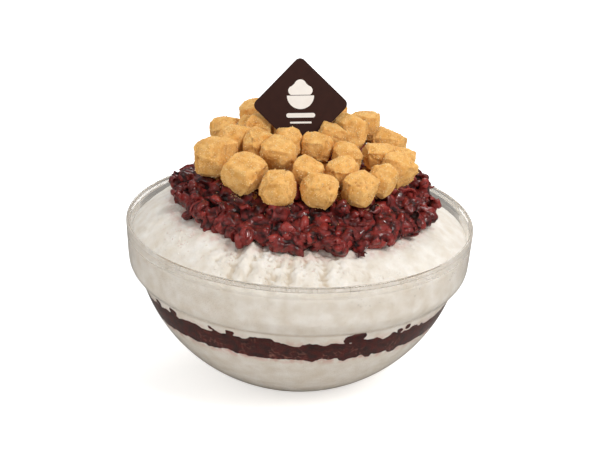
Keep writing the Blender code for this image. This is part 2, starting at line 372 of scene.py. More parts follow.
@dataclass(frozen=True)
class IceFinish:
    """Fluffy milk ice, with a pink stain where it meets the beans, and painted shade in its hollows."""

    name: str
    white: Colour = rgb(244, 240, 233)
    hollow: Colour = rgb(226, 217, 203)
    stain: Colour = rgb(205, 140, 126)
    # painted shade: colour laid on the ice where the mesh lies in a hollow
    deep: Colour = rgb(202, 186, 164)
    stain_middle: float = 42.4 * MM
    stain_reach: float = 4.5 * MM
    stain_depth: float = 4 * MM
    stain_radius: float = 1.0
    stained_most: float = 0.35
    stain_low: float = 80 * MM
    stain_high: float = 82 * MM
    shade: float = 0.85
    patch_size: float = 7 * MM
    grain_size: float = 0.55 * MM
    grain_depth: float = 0.5 * MM

    def material(self) -> bpy.types.Material:
        """Make ice with soft patches, fine grain, the stain and painted shade in the hollows.

        Returns:
            The material.
        """
        shader = Shader(
            self.name,
            roughness=0.7,
            ior=1.31,
            subsurface_weight=0.15,
            subsurface_radius=(1.0, 0.85, 0.7),
            subsurface_scale=1.5 * MM,
        )
        patches = shader.place(
            mottle_group(), size=self.patch_size, edge=0.2, first=self.hollow, second=self.white
        )
        grain = shader.place(grain_group(), size=self.grain_size, specks=0.35)
        # painted shade: the stored hollow depth darkens the ice towards the deep colour
        shaded = shader.blend(shader.stored("hollow", self.shade), patches.outputs["Color"], self.deep)
        shader.colour(self.stained(shader, shaded))
        shader.rough(grain.outputs["Speck"], 0.75, 0.35)
        shader.bump(grain.outputs["Height"], self.grain_depth, 0.7)
        return shader.material

    def stained(self, shader: Shader, colour: bpy.types.NodeSocket) -> bpy.types.NodeSocket:
        """Mix in the beans' stain, round the layer in the ice and at the topping's edge.

        Args:
            shader: the ice's shader.
            colour: colour of clean ice.

        Returns:
            The stained colour.
        """
        where = shader.add("ShaderNodeSeparateXYZ", {"Vector": shader.where})
        flat = shader.add("ShaderNodeCombineXYZ", {"X": where.outputs["X"], "Y": where.outputs["Y"]})
        reach = shader.add("ShaderNodeVectorMath", {0: flat.outputs[0]}, operation="LENGTH").outputs["Value"]
        off = shader.math("ABSOLUTE", shader.math("SUBTRACT", where.outputs["Z"], self.stain_middle))
        layer = shader.ramp(off, self.stain_reach + self.stain_depth, self.stain_reach)
        above = shader.ramp(where.outputs["Z"], self.stain_low, self.stain_high)
        round_beans = shader.ramp(reach, self.stain_radius, self.stain_radius - self.stain_depth)
        edge = shader.math("MULTIPLY", above, round_beans)
        near = shader.math("MAXIMUM", layer, edge)
        drip = shader.place(mottle_group(), size=4 * MM, edge=0.1)
        patches = shader.math("MULTIPLY", drip.outputs["Mask"], self.stained_most)
        amount = shader.math("MULTIPLY", near, patches)
        return shader.blend(amount, colour, self.stain)


@dataclass(frozen=True)
class BeanFinish:
    """Sweet red beans: dark flesh, redder patches, a wet coat and painted shade in the crevices."""

    name: str
    dark: Colour
    light: Colour
    # painted shade: colour laid in the crevices of the beans
    deep: Colour = rgb(24, 6, 5)
    patch_size: float = 4 * MM
    wet: float = 1.0
    film_size: float = 3 * MM
    smooth: float = 0.22
    coarse: float = 0.5
    grain_size: float = 0.9 * MM
    grain_depth: float = 0.3 * MM
    mottled: float = 0.3
    by_piece: bool = False
    skins: Colour | None = None

    def material(self) -> bpy.types.Material:
        """Make wet bean flesh or skin, with painted shade in its hollows.

        Returns:
            The material.
        """
        shader = Shader(
            self.name,
            ior=1.36,
            coat_roughness=0.13,
            coat_ior=1.5,
            subsurface_weight=0.12,
            subsurface_radius=(1.0, 0.25, 0.15),
            subsurface_scale=1.0 * MM,
        )
        patches = shader.place(
            mottle_group(), size=self.patch_size, edge=0.16, first=self.dark, second=self.light
        )
        colour = patches.outputs["Color"]
        if self.by_piece:
            own = shader.blend(shader.stored("tint"), self.dark, self.light)
            colour = shader.blend(self.mottled, own, colour)
        if self.skins:
            colour = shader.blend(shader.stored("tint"), colour, self.skins)
        # painted shade: darker where the mesh lies in a hollow
        colour = shader.blend(shader.stored("hollow"), colour, self.deep)
        grain = shader.place(grain_group(), size=self.grain_size, specks=0.2)
        shader.colour(colour)
        shader.rough(patches.outputs["Mask"], self.smooth, self.coarse)
        open_share = shader.math("SUBTRACT", 1.0, shader.stored("hollow"))
        film = shader.place(mottle_group(), size=self.film_size, edge=0.25)
        wet = shader.math("MULTIPLY", open_share, shader.math("MULTIPLY", film.outputs["Mask"], self.wet))
        shader.link(wet, shader.bsdf.inputs["Coat Weight"])
        shader.bump(grain.outputs["Height"], self.grain_depth, 0.8)
        return shader.material


@dataclass(frozen=True)
class PowderFinish:
    """Roasted soybean powder on soft rice cake."""

    name: str = "soybean_powder"
    pale: Colour = rgb(238, 190, 119)
    deep: Colour = rgb(222, 163, 86)
    # colour of bare cake, used both where the powder is thin and as painted shade in the hollows
    bare_cake_and_shade: Colour = rgb(146, 76, 22)
    sand: Colour = rgb(196, 128, 58)
    speck: Colour = rgb(255, 224, 164)
    thin_most: float = 0.12
    sand_most: float = 0.4
    speck_most: float = 0.7
    shade: float = 0.6
    patch_size: float = 3.2 * MM
    thin_size: float = 5.5 * MM
    sand_size: float = 0.9 * MM
    grain_size: float = 0.7 * MM
    grain_depth: float = 0.35 * MM

    def material(self) -> bpy.types.Material:
        """Make matt powder with clots, thin places where the cake shows, and painted shade in the hollows in
        the bare cake's colour.

        Returns:
            The material.
        """
        shader = Shader(
            self.name,
            roughness=0.9,
            ior=1.25,
            subsurface_weight=0.15,
            subsurface_radius=(1.0, 0.6, 0.3),
            subsurface_scale=1.5 * MM,
        )
        patches = shader.place(
            mottle_group(), size=self.patch_size, edge=0.18, first=self.deep, second=self.pale
        )
        thin = shader.place(mottle_group(), size=self.thin_size, edge=0.08)
        grain = shader.place(grain_group(), size=self.grain_size, specks=0.35)
        coarse = shader.place(grain_group(), size=self.sand_size, specks=0.4)
        colour = patches.outputs["Color"]
        for mask, most, over in (
            (shader.ramp(thin.outputs["Mask"], 0.7, 1.0), self.thin_most, self.bare_cake_and_shade),
            (coarse.outputs["Speck"], self.sand_most, self.sand),
            (grain.outputs["Speck"], self.speck_most, self.speck),
            # painted shade: hollows darkened towards the bare cake's colour
            (shader.stored("hollow"), self.shade, self.bare_cake_and_shade),
        ):
            colour = shader.blend(shader.math("MULTIPLY", mask, most), colour, over)
        shader.colour(colour)
        shader.rough(thin.outputs["Mask"], 0.95, 0.75)
        shader.bump(grain.outputs["Height"], self.grain_depth, 0.9)
        return shader.material


@dataclass(frozen=True)
class TagFinish:
    """Satin plate with a faint mottle, or the pale ink on it."""

    name: str
    deep: Colour
    pale: Colour
    roughness: float

    def material(self) -> bpy.types.Material:
        """Make a fine satin surface.

        Returns:
            The material.
        """
        shader = Shader(self.name, ior=1.3)
        mottle = shader.place(mottle_group(), size=3 * MM, edge=0.3, first=self.deep, second=self.pale)
        grain = shader.place(grain_group(), size=0.35 * MM, specks=0.1)
        shader.colour(mottle.outputs["Color"])
        shader.rough(mottle.outputs["Mask"], self.roughness, self.roughness + 0.12)
        shader.bump(grain.outputs["Height"], 0.02 * MM, 0.5)
        return shader.material


# ---------------------------------------------------------------- meshes


def mesh_object(
    name: str, points: Sequence, faces: Sequence, material: bpy.types.Material | None = None
) -> bpy.types.Object:
    """Make a smooth mesh object at the origin.

    Args:
        name: the object's name.
        points: its vertices.
        faces: its faces.
        material: its only material.

    Returns:
        The object.
    """
    mesh = bpy.data.meshes.new(name)
    mesh.from_pydata(points, [], faces)
    mesh.validate()
    mesh.shade_smooth()
    return linked(name, mesh, material)


def linked(
    name: str, mesh: bpy.types.Mesh, material: bpy.types.Material | None = None
) -> bpy.types.Object:
    """Put a mesh in the scene.

    Args:
        name: the object's name.
        mesh: its mesh.
        material: its one material, if it has any yet.

    Returns:
        The object.
    """
    obj = bpy.data.objects.new(name, mesh)
    bpy.context.scene.collection.objects.link(obj)
    if material:
        mesh.materials.clear()
        mesh.materials.append(material)
    return obj


def polar_mesh(
    name: str, rings: Sequence[np.ndarray], material: bpy.types.Material | None = None
) -> bpy.types.Object:
    """Skin rings of points that run from the top's middle down the outer side to the bottom's middle.

    Args:
        name: the object's name.
        rings: equal rings of points, each anticlockwise seen from above.
        material: its material.

    Returns:
        The object, closed at both middles, with its faces pointing out.
    """
    count = len(rings[0])
    points = np.concatenate([*rings, [rings[0].mean(axis=0)], [rings[-1].mean(axis=0)]])
    index = np.arange(len(rings) * count).reshape(len(rings), count)
    following = np.roll(index, -1, axis=1)
    quads = np.stack([index[:-1], index[1:], following[1:], following[:-1]], axis=-1).reshape(-1, 4)
    top, bottom = len(points) - 2, len(points) - 1
    faces = quads.tolist()
    faces += [[top, a, b] for a, b in zip(index[0].tolist(), following[0].tolist())]
    faces += [[bottom, b, a] for a, b in zip(index[-1].tolist(), following[-1].tolist())]
    return mesh_object(name, points.tolist(), faces, material)


def circle(count: int) -> np.ndarray:
    """Angles of evenly spaced points round a ring."""
    return np.arange(count) * 2 * math.pi / count


def ring_at(angles: np.ndarray, radii: np.ndarray | float, heights: np.ndarray | float) -> np.ndarray:
    """Points of one ring from its radii and heights."""
    heights = np.broadcast_to(heights, angles.shape)
    return np.stack([radii * np.cos(angles), radii * np.sin(angles), heights], axis=-1)


def rumple(points: np.ndarray, size: float, seed: float) -> np.ndarray:
    """Smooth noise of about -1 to 1 at each point, with features of a size."""
    shift = Vector((seed * 3.7, seed * 1.3, seed * 7.1))
    return np.array([noise.noise(Vector(point) / size + shift) for point in points]) * 1.4


def baked(obj: bpy.types.Object, name: str) -> bpy.types.Object:
    """Turn an object with its modifiers into a plain mesh object and drop the old one.

    Args:
        obj: the object with live modifiers.
        name: the new object's name.

    Returns:
        The new object, with the material that the modifiers set.
    """
    graph = bpy.context.evaluated_depsgraph_get()
    mesh = bpy.data.meshes.new_from_object(obj.evaluated_get(graph), depsgraph=graph)
    mesh.name = name
    discard(obj)
    return linked(name, mesh)


def from_bmesh(
    name: str, bm: bmesh.types.BMesh, material: bpy.types.Material | None = None
) -> bpy.types.Object:
    """Turn a finished bmesh into a mesh object, and free it.

    Args:
        name: the object's name.
        bm: the bmesh.
        material: its only material.

    Returns:
        The object.
    """
    mesh = bpy.data.meshes.new(name)
    bm.to_mesh(mesh)
    bm.free()
    return linked(name, mesh, material)


def discard(*objects: bpy.types.Object) -> None:
    """Remove helper objects."""
    for obj in objects:
        bpy.data.objects.remove(obj, do_unlink=True)


def joined(name: str, pieces: Sequence[bpy.types.Object]) -> bpy.types.Object:
    """Join objects at the origin into one mesh object and drop them.

    Args:
        name: the new object's name.
        pieces: the objects.

    Returns:
        The joined object.
    """
    bm = bmesh.new()
    for piece in pieces:
        bm.from_mesh(piece.data)
    discard(*pieces)
    whole = from_bmesh(name, bm)
    whole.data.shade_smooth()
    return whole


def vertex_points(mesh: bpy.types.Mesh) -> np.ndarray:
    """Read where a mesh's vertices are.

    Args:
        mesh: the mesh.

    Returns:
        Their places, in rows.
    """
    points = np.empty(len(mesh.vertices) * 3)
    mesh.vertices.foreach_get("co", points)
    return points.reshape(-1, 3)


def vertex_normals(mesh: bpy.types.Mesh) -> np.ndarray:
    """Read the normals of a mesh's vertices.

    Args:
        mesh: the mesh.

    Returns:
        The normals, in rows.
    """
    normals = np.empty(len(mesh.vertices) * 3, dtype=np.float32)
    mesh.vertex_normals.foreach_get("vector", normals)
    return normals.reshape(-1, 3)


def store(mesh: bpy.types.Mesh, name: str, values: np.ndarray) -> None:
    """Store a value at each vertex of a mesh."""
    layer = mesh.attributes.new(name, "FLOAT", "POINT")
    layer.data.foreach_set("value", values.astype(np.float32))


def set_density(obj: bpy.types.Object, rule: Callable[[np.ndarray, np.ndarray], np.ndarray]) -> None:
    """Store on a surface how densely small pieces may lie on it.

    Args:
        obj: the surface.
        rule: gives the density, 0 to 1, from the points and their normals.
    """
    store(obj.data, "density", rule(vertex_points(obj.data), vertex_normals(obj.data)))


def mark_hollows(obj: bpy.types.Object, depth: float, passes: int = 10) -> bpy.types.Object:
    """Store on a mesh how far each point lies in a hollow, 0 to 1, which the finishes use to paint shade in
    the hollows.

    Args:
        obj: the mesh object.
        depth: the depth that counts as 1.
        passes: how many times the surface is averaged to find its mean level.

    Returns:
        The object.
    """
    mesh = obj.data
    count = len(mesh.vertices)
    points = vertex_points(mesh)
    ends = np.empty(len(mesh.edges) * 2, dtype=np.int32)
    mesh.edges.foreach_get("vertices", ends)
    one, two = ends.reshape(-1, 2).T
    near = np.bincount(one, minlength=count) + np.bincount(two, minlength=count)
    level = points
    for _ in range(passes):
        sums = [
            np.bincount(one, level[two, axis], count) + np.bincount(two, level[one, axis], count)
            for axis in range(3)
        ]
        level = np.stack(sums, axis=1) / near[:, None]
    below = np.sum((level - points) * vertex_normals(mesh), axis=1)
    store(mesh, "hollow", between(below, 0, depth))
    return obj


def between(values: np.ndarray, low: float, high: float) -> np.ndarray:
    """Smooth step of each value from low to high."""
    share = np.clip((values - low) / (high - low), 0, 1)
    return share * share * (3 - 2 * share)


def publish(piece: bpy.types.Object, slot: Slot, *nodes: str) -> bpy.types.Object:
    """Hand a finished piece to the frame.

    Args:
        piece: the piece.
        slot: its material slot in the record; not used.
        nodes: the CAD nodes that it stands for.

    Returns:
        The piece.
    """
    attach(piece, BODY)
    if nodes:
        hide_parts(*nodes)
    triangles = sum(len(face.vertices) - 2 for face in piece.data.polygons)
    LOG.info("%-18s %7d triangles, stands for %s", piece.name, triangles, ", ".join(nodes) or "nothing")
    return piece


# ---------------------------------------------------------------- geometry node trees


def give(obj: bpy.types.Object, tree: bpy.types.NodeTree, values: dict) -> None:
    """Put a geometry node tree on an object and set its inputs.

    Args:
        obj: the object.
        tree: the tree.
        values: its inputs by name.
    """
    modifier = obj.modifiers.new(tree.name, "NODES")
    modifier.node_group = tree
    for item in tree.interface.items_tree:
        if item.item_type == "SOCKET" and item.in_out == "INPUT" and item.name in values:
            modifier[item.identifier] = values[item.name]


@lru_cache(maxsize=None)
def scatter_tree() -> bpy.types.NodeTree:
    """Geometry tree: small pieces spaced over a surface, each turned, stretched and dented in its own way.

    Returns:
        The tree, with named inputs for the pieces' sizes.
    """
    graph, given, result = new_group(
        "scatter",
        "GeometryNodeTree",
        {
            "Surface": "NodeSocketGeometry",
            "Piece": "NodeSocketObject",
            "Finish": "NodeSocketMaterial",
            "Spacing": 3 * MM,
            "Smallest": 0.8,
            "Largest": 1.2,
            "Stretch": 0.15,
            "Lift": 0.0,
            "Tumble": 0.5,
            "Dent": 0.2 * MM,
            "Dent Size": 2 * MM,
            "Seed": 1,
        },
        {"Geometry": "NodeSocketGeometry"},
    )
    density = graph.add("GeometryNodeInputNamedAttribute", {"Name": "density"}, data_type="FLOAT")
    packed = graph.math("DIVIDE", 1.6, graph.math("MULTIPLY", given["Spacing"], given["Spacing"]))
    points = graph.add(
        "GeometryNodeDistributePointsOnFaces",
        {
            "Mesh": given["Surface"],
            "Distance Min": given["Spacing"],
            "Density Max": packed,
            "Density Factor": density.outputs["Attribute"],
            "Seed": given["Seed"],
        },
        distribute_method="POISSON",
    )
    lift = graph.vector("SCALE", points.outputs["Normal"], given["Lift"])
    raised = graph.add("GeometryNodeSetPosition", {"Geometry": points.outputs["Points"], "Offset": lift})
    tint = graph.add("FunctionNodeRandomValue", {"Seed": given["Seed"]}, data_type="FLOAT").outputs[1]
    marked = graph.add(
        "GeometryNodeStoreNamedAttribute",
        {"Geometry": raised.outputs[0], "Name": "tint", "Value": tint},
        data_type="FLOAT",
        domain="POINT",
    )
    piece = graph.add("GeometryNodeObjectInfo", {"Object": given["Piece"]})
    placed = graph.add(
        "GeometryNodeInstanceOnPoints",
        {
            "Points": marked.outputs[0],
            "Instance": piece.outputs["Geometry"],
            "Rotation": tumbled(graph, given, points.outputs["Rotation"]),
            "Scale": stretched(graph, given),
        },
    )
    real = graph.add("GeometryNodeRealizeInstances", {0: placed.outputs[0]})
    dented = displaced(graph, real.outputs[0], given["Dent"], given["Dent Size"], given["Seed"])
    finish(graph, dented, given["Finish"], result["Geometry"])
    return graph.tree


def tumbled(graph: Graph, given: dict, rotation: bpy.types.NodeSocket) -> bpy.types.NodeSocket:
    """Turn each piece at random about its own axes, after it stands on the surface.

    Args:
        graph: the tree's graph.
        given: the tree's inputs.
        rotation: how each piece stands.

    Returns:
        The new rotation.
    """
    back = graph.math("MULTIPLY", given["Tumble"], -1.0)
    low = (back, back, -math.pi)
    high = (given["Tumble"], given["Tumble"], math.pi)
    turn = random_vector(graph, low, high, graph.math("ADD", given["Seed"], 11))
    turns = {"Rotation": rotation, "Rotate By": turn}
    return graph.add("FunctionNodeRotateRotation", turns, rotation_space="LOCAL").outputs[0]


def stretched(graph: Graph, given: dict) -> bpy.types.NodeSocket:
    """Give each piece its own size and its own stretch along each axis.

    Args:
        graph: the tree's graph.
        given: the tree's inputs.

    Returns:
        The scale.
    """
    sizes = {2: given["Smallest"], 3: given["Largest"], "Seed": graph.math("ADD", given["Seed"], 23)}
    size = graph.add("FunctionNodeRandomValue", sizes, data_type="FLOAT")
    low = graph.math("SUBTRACT", 1.0, given["Stretch"])
    high = graph.math("ADD", 1.0, given["Stretch"])
    each = random_vector(graph, [low] * 3, [high] * 3, graph.math("ADD", given["Seed"], 31))
    return graph.vector("SCALE", each, size.outputs[1])


def random_vector(graph: Graph, low: Sequence, high: Sequence, seed: object) -> bpy.types.NodeSocket:
    """Draw a vector for each piece.

    Args:
        graph: the tree's graph.
        low: lowest value of a part.
        high: highest value of a part.
        seed: the draw's seed.

    Returns:
        The vector.
    """
    ends = [graph.add("ShaderNodeCombineXYZ", dict(enumerate(end))).outputs[0] for end in (low, high)]
    drawn = {0: ends[0], 1: ends[1], "Seed": seed}
    return graph.add("FunctionNodeRandomValue", drawn, data_type="FLOAT_VECTOR").outputs[0]


def displaced(
    graph: Graph, geometry: bpy.types.NodeSocket, height: object, size: object, seed: object,
    folds: object = 0.0,
) -> bpy.types.NodeSocket:
    """Move a surface in and out along its normals by smooth noise.

    Args:
        graph: the tree.
        geometry: the surface.
        height: how far, from hollow to crest.
        size: the width of the features.
        seed: shifts the noise.
        folds: how far the features are swept into folds.

    Returns:
        The moved surface.
    """
    rise = graph.math("MULTIPLY", graph.math("SUBTRACT", cloud(graph, size, seed, 2.0, folds), 0.5), height)
    return pushed(graph, geometry, rise)


CREASE_WIDTH = 0.055  # of the noise's range, to each side of a crease's line


def creased(
    graph: Graph, geometry: bpy.types.NodeSocket, depth: object, size: object, seed: object
) -> bpy.types.NodeSocket:
    """Press a few winding creases into a surface.

    Args:
        graph: the tree.
        geometry: the surface.
        depth: how deep they go.
        size: how far apart they run.
        seed: shifts them.

    Returns:
        The creased surface.
    """
    away = graph.math("ABSOLUTE", graph.math("SUBTRACT", cloud(graph, size, seed, 0.5), 0.5))
    look = {"Value": away, "From Max": CREASE_WIDTH, "To Min": 1.0, "To Max": 0.0}
    shown = graph.add("ShaderNodeMapRange", look, interpolation_type="SMOOTHSTEP")
    sunk = graph.math("MULTIPLY", shown.outputs[0], depth)
    return pushed(graph, geometry, graph.math("MULTIPLY", sunk, -1.0))


def cloud(
    graph: Graph, size: object, seed: object, detail: float, folds: object = 0.0
) -> bpy.types.NodeSocket:
    """Noise over a surface's position.

    Args:
        graph: the tree's graph.
        size: size of its features.
        seed: its seed.
        detail: how fine it gets.
        folds: how far it is bent.

    Returns:
        A value of 0 to 1.
    """
    place = graph.add("GeometryNodeInputPosition").outputs[0]
    scaled = graph.vector("SCALE", place, graph.math("DIVIDE", 1.0, size))
    offset = graph.math("MULTIPLY", seed, 5.3)
    shift = graph.add("ShaderNodeCombineXYZ", {0: offset, 1: offset, 2: offset})
    moved = graph.vector("ADD", scaled, shift.outputs[0])
    look = {"Vector": moved, "Scale": 1.0, "Detail": detail, "Distortion": folds}
    return graph.add("ShaderNodeTexNoise", look).outputs[0]


def pushed(graph: Graph, geometry: bpy.types.NodeSocket, rise: bpy.types.NodeSocket) -> bpy.types.NodeSocket:
    """Move a surface along its normals."""
    along = graph.vector("SCALE", graph.add("GeometryNodeInputNormal").outputs[0], rise)
    return graph.add("GeometryNodeSetPosition", {"Geometry": geometry, "Offset": along}).outputs[0]


def finish(
    graph: Graph, geometry: bpy.types.NodeSocket, material: bpy.types.NodeSocket, result: bpy.types.NodeSocket
) -> None:
    """End a tree with smooth shading and a material.

    Args:
        graph: the tree's graph.
        geometry: what was made.
        material: its material.
        result: the tree's output.
    """
    smooth = graph.add("GeometryNodeSetShadeSmooth", {"Geometry": geometry})
    dressed = graph.add("GeometryNodeSetMaterial", {"Geometry": smooth.outputs[0], "Material": material})
    graph.link(dressed.outputs[0], result)


@lru_cache(maxsize=None)
def roughen_tree() -> bpy.types.NodeTree:
    """Geometry tree: gives a surface wide relief, a few creases and fine relief.

    Returns:
        The tree, with named inputs for each relief.
    """
    graph, given, result = new_group(
        "roughen",
        "GeometryNodeTree",
        {
            "Surface": "NodeSocketGeometry",
            "Finish": "NodeSocketMaterial",
            "Wide": 0.8 * MM,
            "Wide Size": 7 * MM,
            "Fine": 0.2 * MM,
            "Fine Size": 1.2 * MM,
            "Crease": 0.0,
            "Crease Size": 8 * MM,
            "Fold": 0.0,
            "Fold Size": 6 * MM,
            "Fold Sweep": 1.5,
            "Seed": 1,
        },
        {"Geometry": "NodeSocketGeometry"},
    )
    wide = displaced(graph, given["Surface"], given["Wide"], given["Wide Size"], given["Seed"])
    swept = graph.math("ADD", given["Seed"], 5)
    waved = displaced(graph, wide, given["Fold"], given["Fold Size"], swept, given["Fold Sweep"])
    folded = creased(graph, waved, given["Crease"], given["Crease Size"], graph.math("ADD", given["Seed"], 3))
    fine = displaced(graph, folded, given["Fine"], given["Fine Size"], graph.math("ADD", given["Seed"], 7))
    real = graph.add("GeometryNodeRealizeInstances", {0: fine})
    finish(graph, real.outputs[0], given["Finish"], result["Geometry"])
    return graph.tree


def scattered(
    name: str,
    surface: bpy.types.Object,
    piece: bpy.types.Object,
    material: bpy.types.Material,
    **values: object,
) -> bpy.types.Object:
    """Scatter copies of a small piece over a surface as one plain mesh.

    Args:
        name: the new object's name.
        surface: the surface, with its density stored, which is kept.
        piece: the small piece, which is kept.
        material: the finish of the copies.
        values: the tree's other inputs, with _ for a space.

    Returns:
        The new object.
    """
    carrier = linked(name, surface.data.copy())
    inputs = {key.replace("_", " ").title(): value for key, value in values.items()}
    give(carrier, scatter_tree(), {"Piece": piece, "Finish": material, **inputs})
    return baked(carrier, name)


# ---------------------------------------------------------------- small pieces

SKIN_THICKNESS = 0.22 * MM


def pebble(name: str, size: Vector, subdivisions: int = 2) -> bpy.types.Object:
    """A ball of a few dozen faces, with its three widths.

    Args:
        name: the object's name.
        size: its widths.
        subdivisions: 1 for 20 faces, 2 for 80.

    Returns:
        The object.
    """
    bm = bmesh.new()
    bmesh.ops.create_icosphere(bm, subdivisions=subdivisions, radius=0.5)
    bmesh.ops.scale(bm, vec=size, verts=bm.verts)
    return from_bmesh(name, bm)


def curled_skin(name: str, length: float, width: float, curl: float) -> bpy.types.Object:
    """A thin bean skin, cupped along and across.

    Args:
        name: the object's name.
        length: its length along the curl.
        width: its width.
        curl: the angle that it curls through.

    Returns:
        The object.
    """
    bm = bmesh.new()
    bmesh.ops.create_grid(bm, x_segments=5, y_segments=3, size=0.5)
    bend_radius = length / curl
    for vert in bm.verts:
        x, y = vert.co.x, vert.co.y
        narrow = 1 - 1.6 * x * x
        angle = x * curl
        rise = bend_radius * (math.cos(angle) - math.cos(curl / 2)) - 1.2 * width * y * y
        vert.co = Vector((bend_radius * math.sin(angle), y * width * narrow, rise))
    sheet = from_bmesh(name, bm)
    thick = sheet.modifiers.new("thickness", "SOLIDIFY")
    thick.thickness = SKIN_THICKNESS
    thick.offset = 0
    return baked(sheet, name)


# ---------------------------------------------------------------- bowl


@dataclass
class Bowl:
    """Clear glass bowl: rolled rim, stacking band, ledge, rounded body and flat foot."""

    rim_radius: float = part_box("bowl")[1][0]
    height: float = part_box("bowl")[1][2]
    wall: float = 3 * MM
    band_radius: float = 83.6 * MM
    band_bottom: float = 59.4 * MM
    ledge_radius: float = 78 * MM
    ledge_height: float = 52.5 * MM
    foot_radius: float = 30 * MM
    bulge: float = 0.118
    lip: float = 1.7 * MM
    lip_height: float = 6 * MM
    soften: int = 6
    steps: int = 420
    drops_start: float = math.radians(-74)
    drops_end: float = math.radians(-14)
    drops_low: float = 11 * MM
    drops_high: float = 2.5 * MM
    drop_size: tuple = (0.8, 0.8, 0.42)

    def outline(self) -> np.ndarray:
        """Draw the outer face, from under the rim's roll to the foot's centre.

        Returns:
            Points as (r, z) rows.
        """
        band = np.array([self.band_radius, self.band_bottom])
        ledge = np.array([self.ledge_radius, self.ledge_height])
        control = band + [-0.3 * (band[0] - ledge[0]), -0.65 * (band[1] - ledge[1])]
        share = np.linspace(0, 1, 15)[:, None]
        curve = band * (1 - share) ** 2 + control * 2 * share * (1 - share) + ledge * share**2
        foot = np.array([self.foot_radius, 0])
        top = np.array([self.rim_radius, self.height - self.wall / 2])
        wall = top + (band - top) * np.linspace(0, 0.94, 9)[:, None]
        turn = np.concatenate([wall, curve])
        for _ in range(self.soften):
            turn[1:-1] = turn[1:-1] / 2 + (turn[:-2] + turn[2:]) / 4
        return np.concatenate([turn, self.body(ledge, foot), [[foot[0] * 0.5, 0]]])

    def body(self, start: np.ndarray, end: np.ndarray) -> np.ndarray:
        """Draw the round body, which bulges outwards.

        Args:
            start: where it begins, left out.
            end: where it ends.

        Returns:
            Points after the start.
        """
        chord = np.linalg.norm(end - start)
        along = (end - start) / chord
        outward = np.array([-along[1], along[0]])
        sagitta = self.bulge * chord
        radius = chord**2 / (8 * sagitta) + sagitta / 2
        half = math.asin(chord / (2 * radius))
        angles = np.linspace(-half, half, 41)[1:, None]
        along_arc = along * (radius * np.sin(angles) + chord / 2)
        return start + along_arc + outward * (radius * np.cos(angles) - (radius - sagitta))

    def inset(self, distance: float) -> np.ndarray:
        """Move the outline towards the inside.

        Args:
            distance: how far.

        Returns:
            The moved outline.
        """
        points = self.outline()
        along = np.diff(points, axis=0)
        along /= np.linalg.norm(along, axis=1)[:, None]
        normals = np.stack([along[:, 1], -along[:, 0]], axis=1)
        before = np.concatenate([normals[:1], normals])
        after = np.concatenate([normals, normals[-1:]])
        mitre = before + after
        mitre /= np.linalg.norm(mitre, axis=1)[:, None]
        return points + mitre * (distance / np.sum(mitre * after, axis=1))[:, None]

    def inside_radius(self, heights: np.ndarray | float, into_wall: float = 0.0) -> np.ndarray:
        """Radius of the inner face at heights, or of a surface a little way into the wall."""
        face = self.inset(self.wall - into_wall)[:-1][::-1]
        return np.interp(heights, face[:, 1], face[:, 0])

    def make(self, finish: GlassFinish) -> bpy.types.Object:
        """Build the bowl.

        Args:
            finish: the glass.

        Returns:
            The bowl.
        """
        outside = self.outline()
        inside = self.inset(self.wall)[::-1]
        top = outside[0, 1]
        inside[:, 0] += (self.wall - self.lip) * between(inside[:, 1], top - self.lip_height, top)
        turn = np.radians(np.linspace(-84, 84, 15))
        middle = self.rim_radius - self.lip / 2
        rise = (self.height - top) * np.cos(turn)
        roll = np.stack([middle + self.lip / 2 * np.sin(turn), top + rise], axis=1)
        angles = circle(self.steps)
        profile = np.concatenate([inside, roll, outside])
        rings = [ring_at(angles, r, z) for r, z in profile]
        return polar_mesh("glass_bowl", rings, finish.material())

    def make_drops(self, finish: WaterFinish) -> bpy.types.Object:
        """Build the condensation on the outside, below the rim at the front right.

        Args:
            finish: the water.

        Returns:
            The drops, as one object.
        """
        columns, rows = 60, 10
        angles = np.linspace(self.drops_start, self.drops_end, columns)
        heights = np.linspace(self.height - self.drops_low, self.height - self.drops_high, rows)
        outside = self.outline()[::-1]
        radii = np.interp(heights, outside[:, 1], outside[:, 0])
        points = np.concatenate([ring_at(angles, r, z) for r, z in zip(radii[::-1], heights[::-1])])
        index = np.arange(rows * columns).reshape(rows, columns)
        faces = np.stack([index[:-1, :-1], index[1:, :-1], index[1:, 1:], index[:-1, 1:]], axis=-1)
        patch = mesh_object("drop_patch", points.tolist(), faces.reshape(-1, 4).tolist())
        set_density(patch, lambda points, _: between(rumple(points, 9 * MM, 4), -0.2, 0.7))
        drop = pebble("drop", Vector(self.drop_size) * MM)
        drops = scattered(
            "condensation", patch, drop, finish.material(), spacing=1.5 * MM, smallest=0.35, largest=1.25,
            stretch=0.25, tumble=0.1, dent=0.1 * MM, dent_size=1 * MM, seed=3,
        )
        discard(patch, drop)
        return drops


# ---------------------------------------------------------------- filling


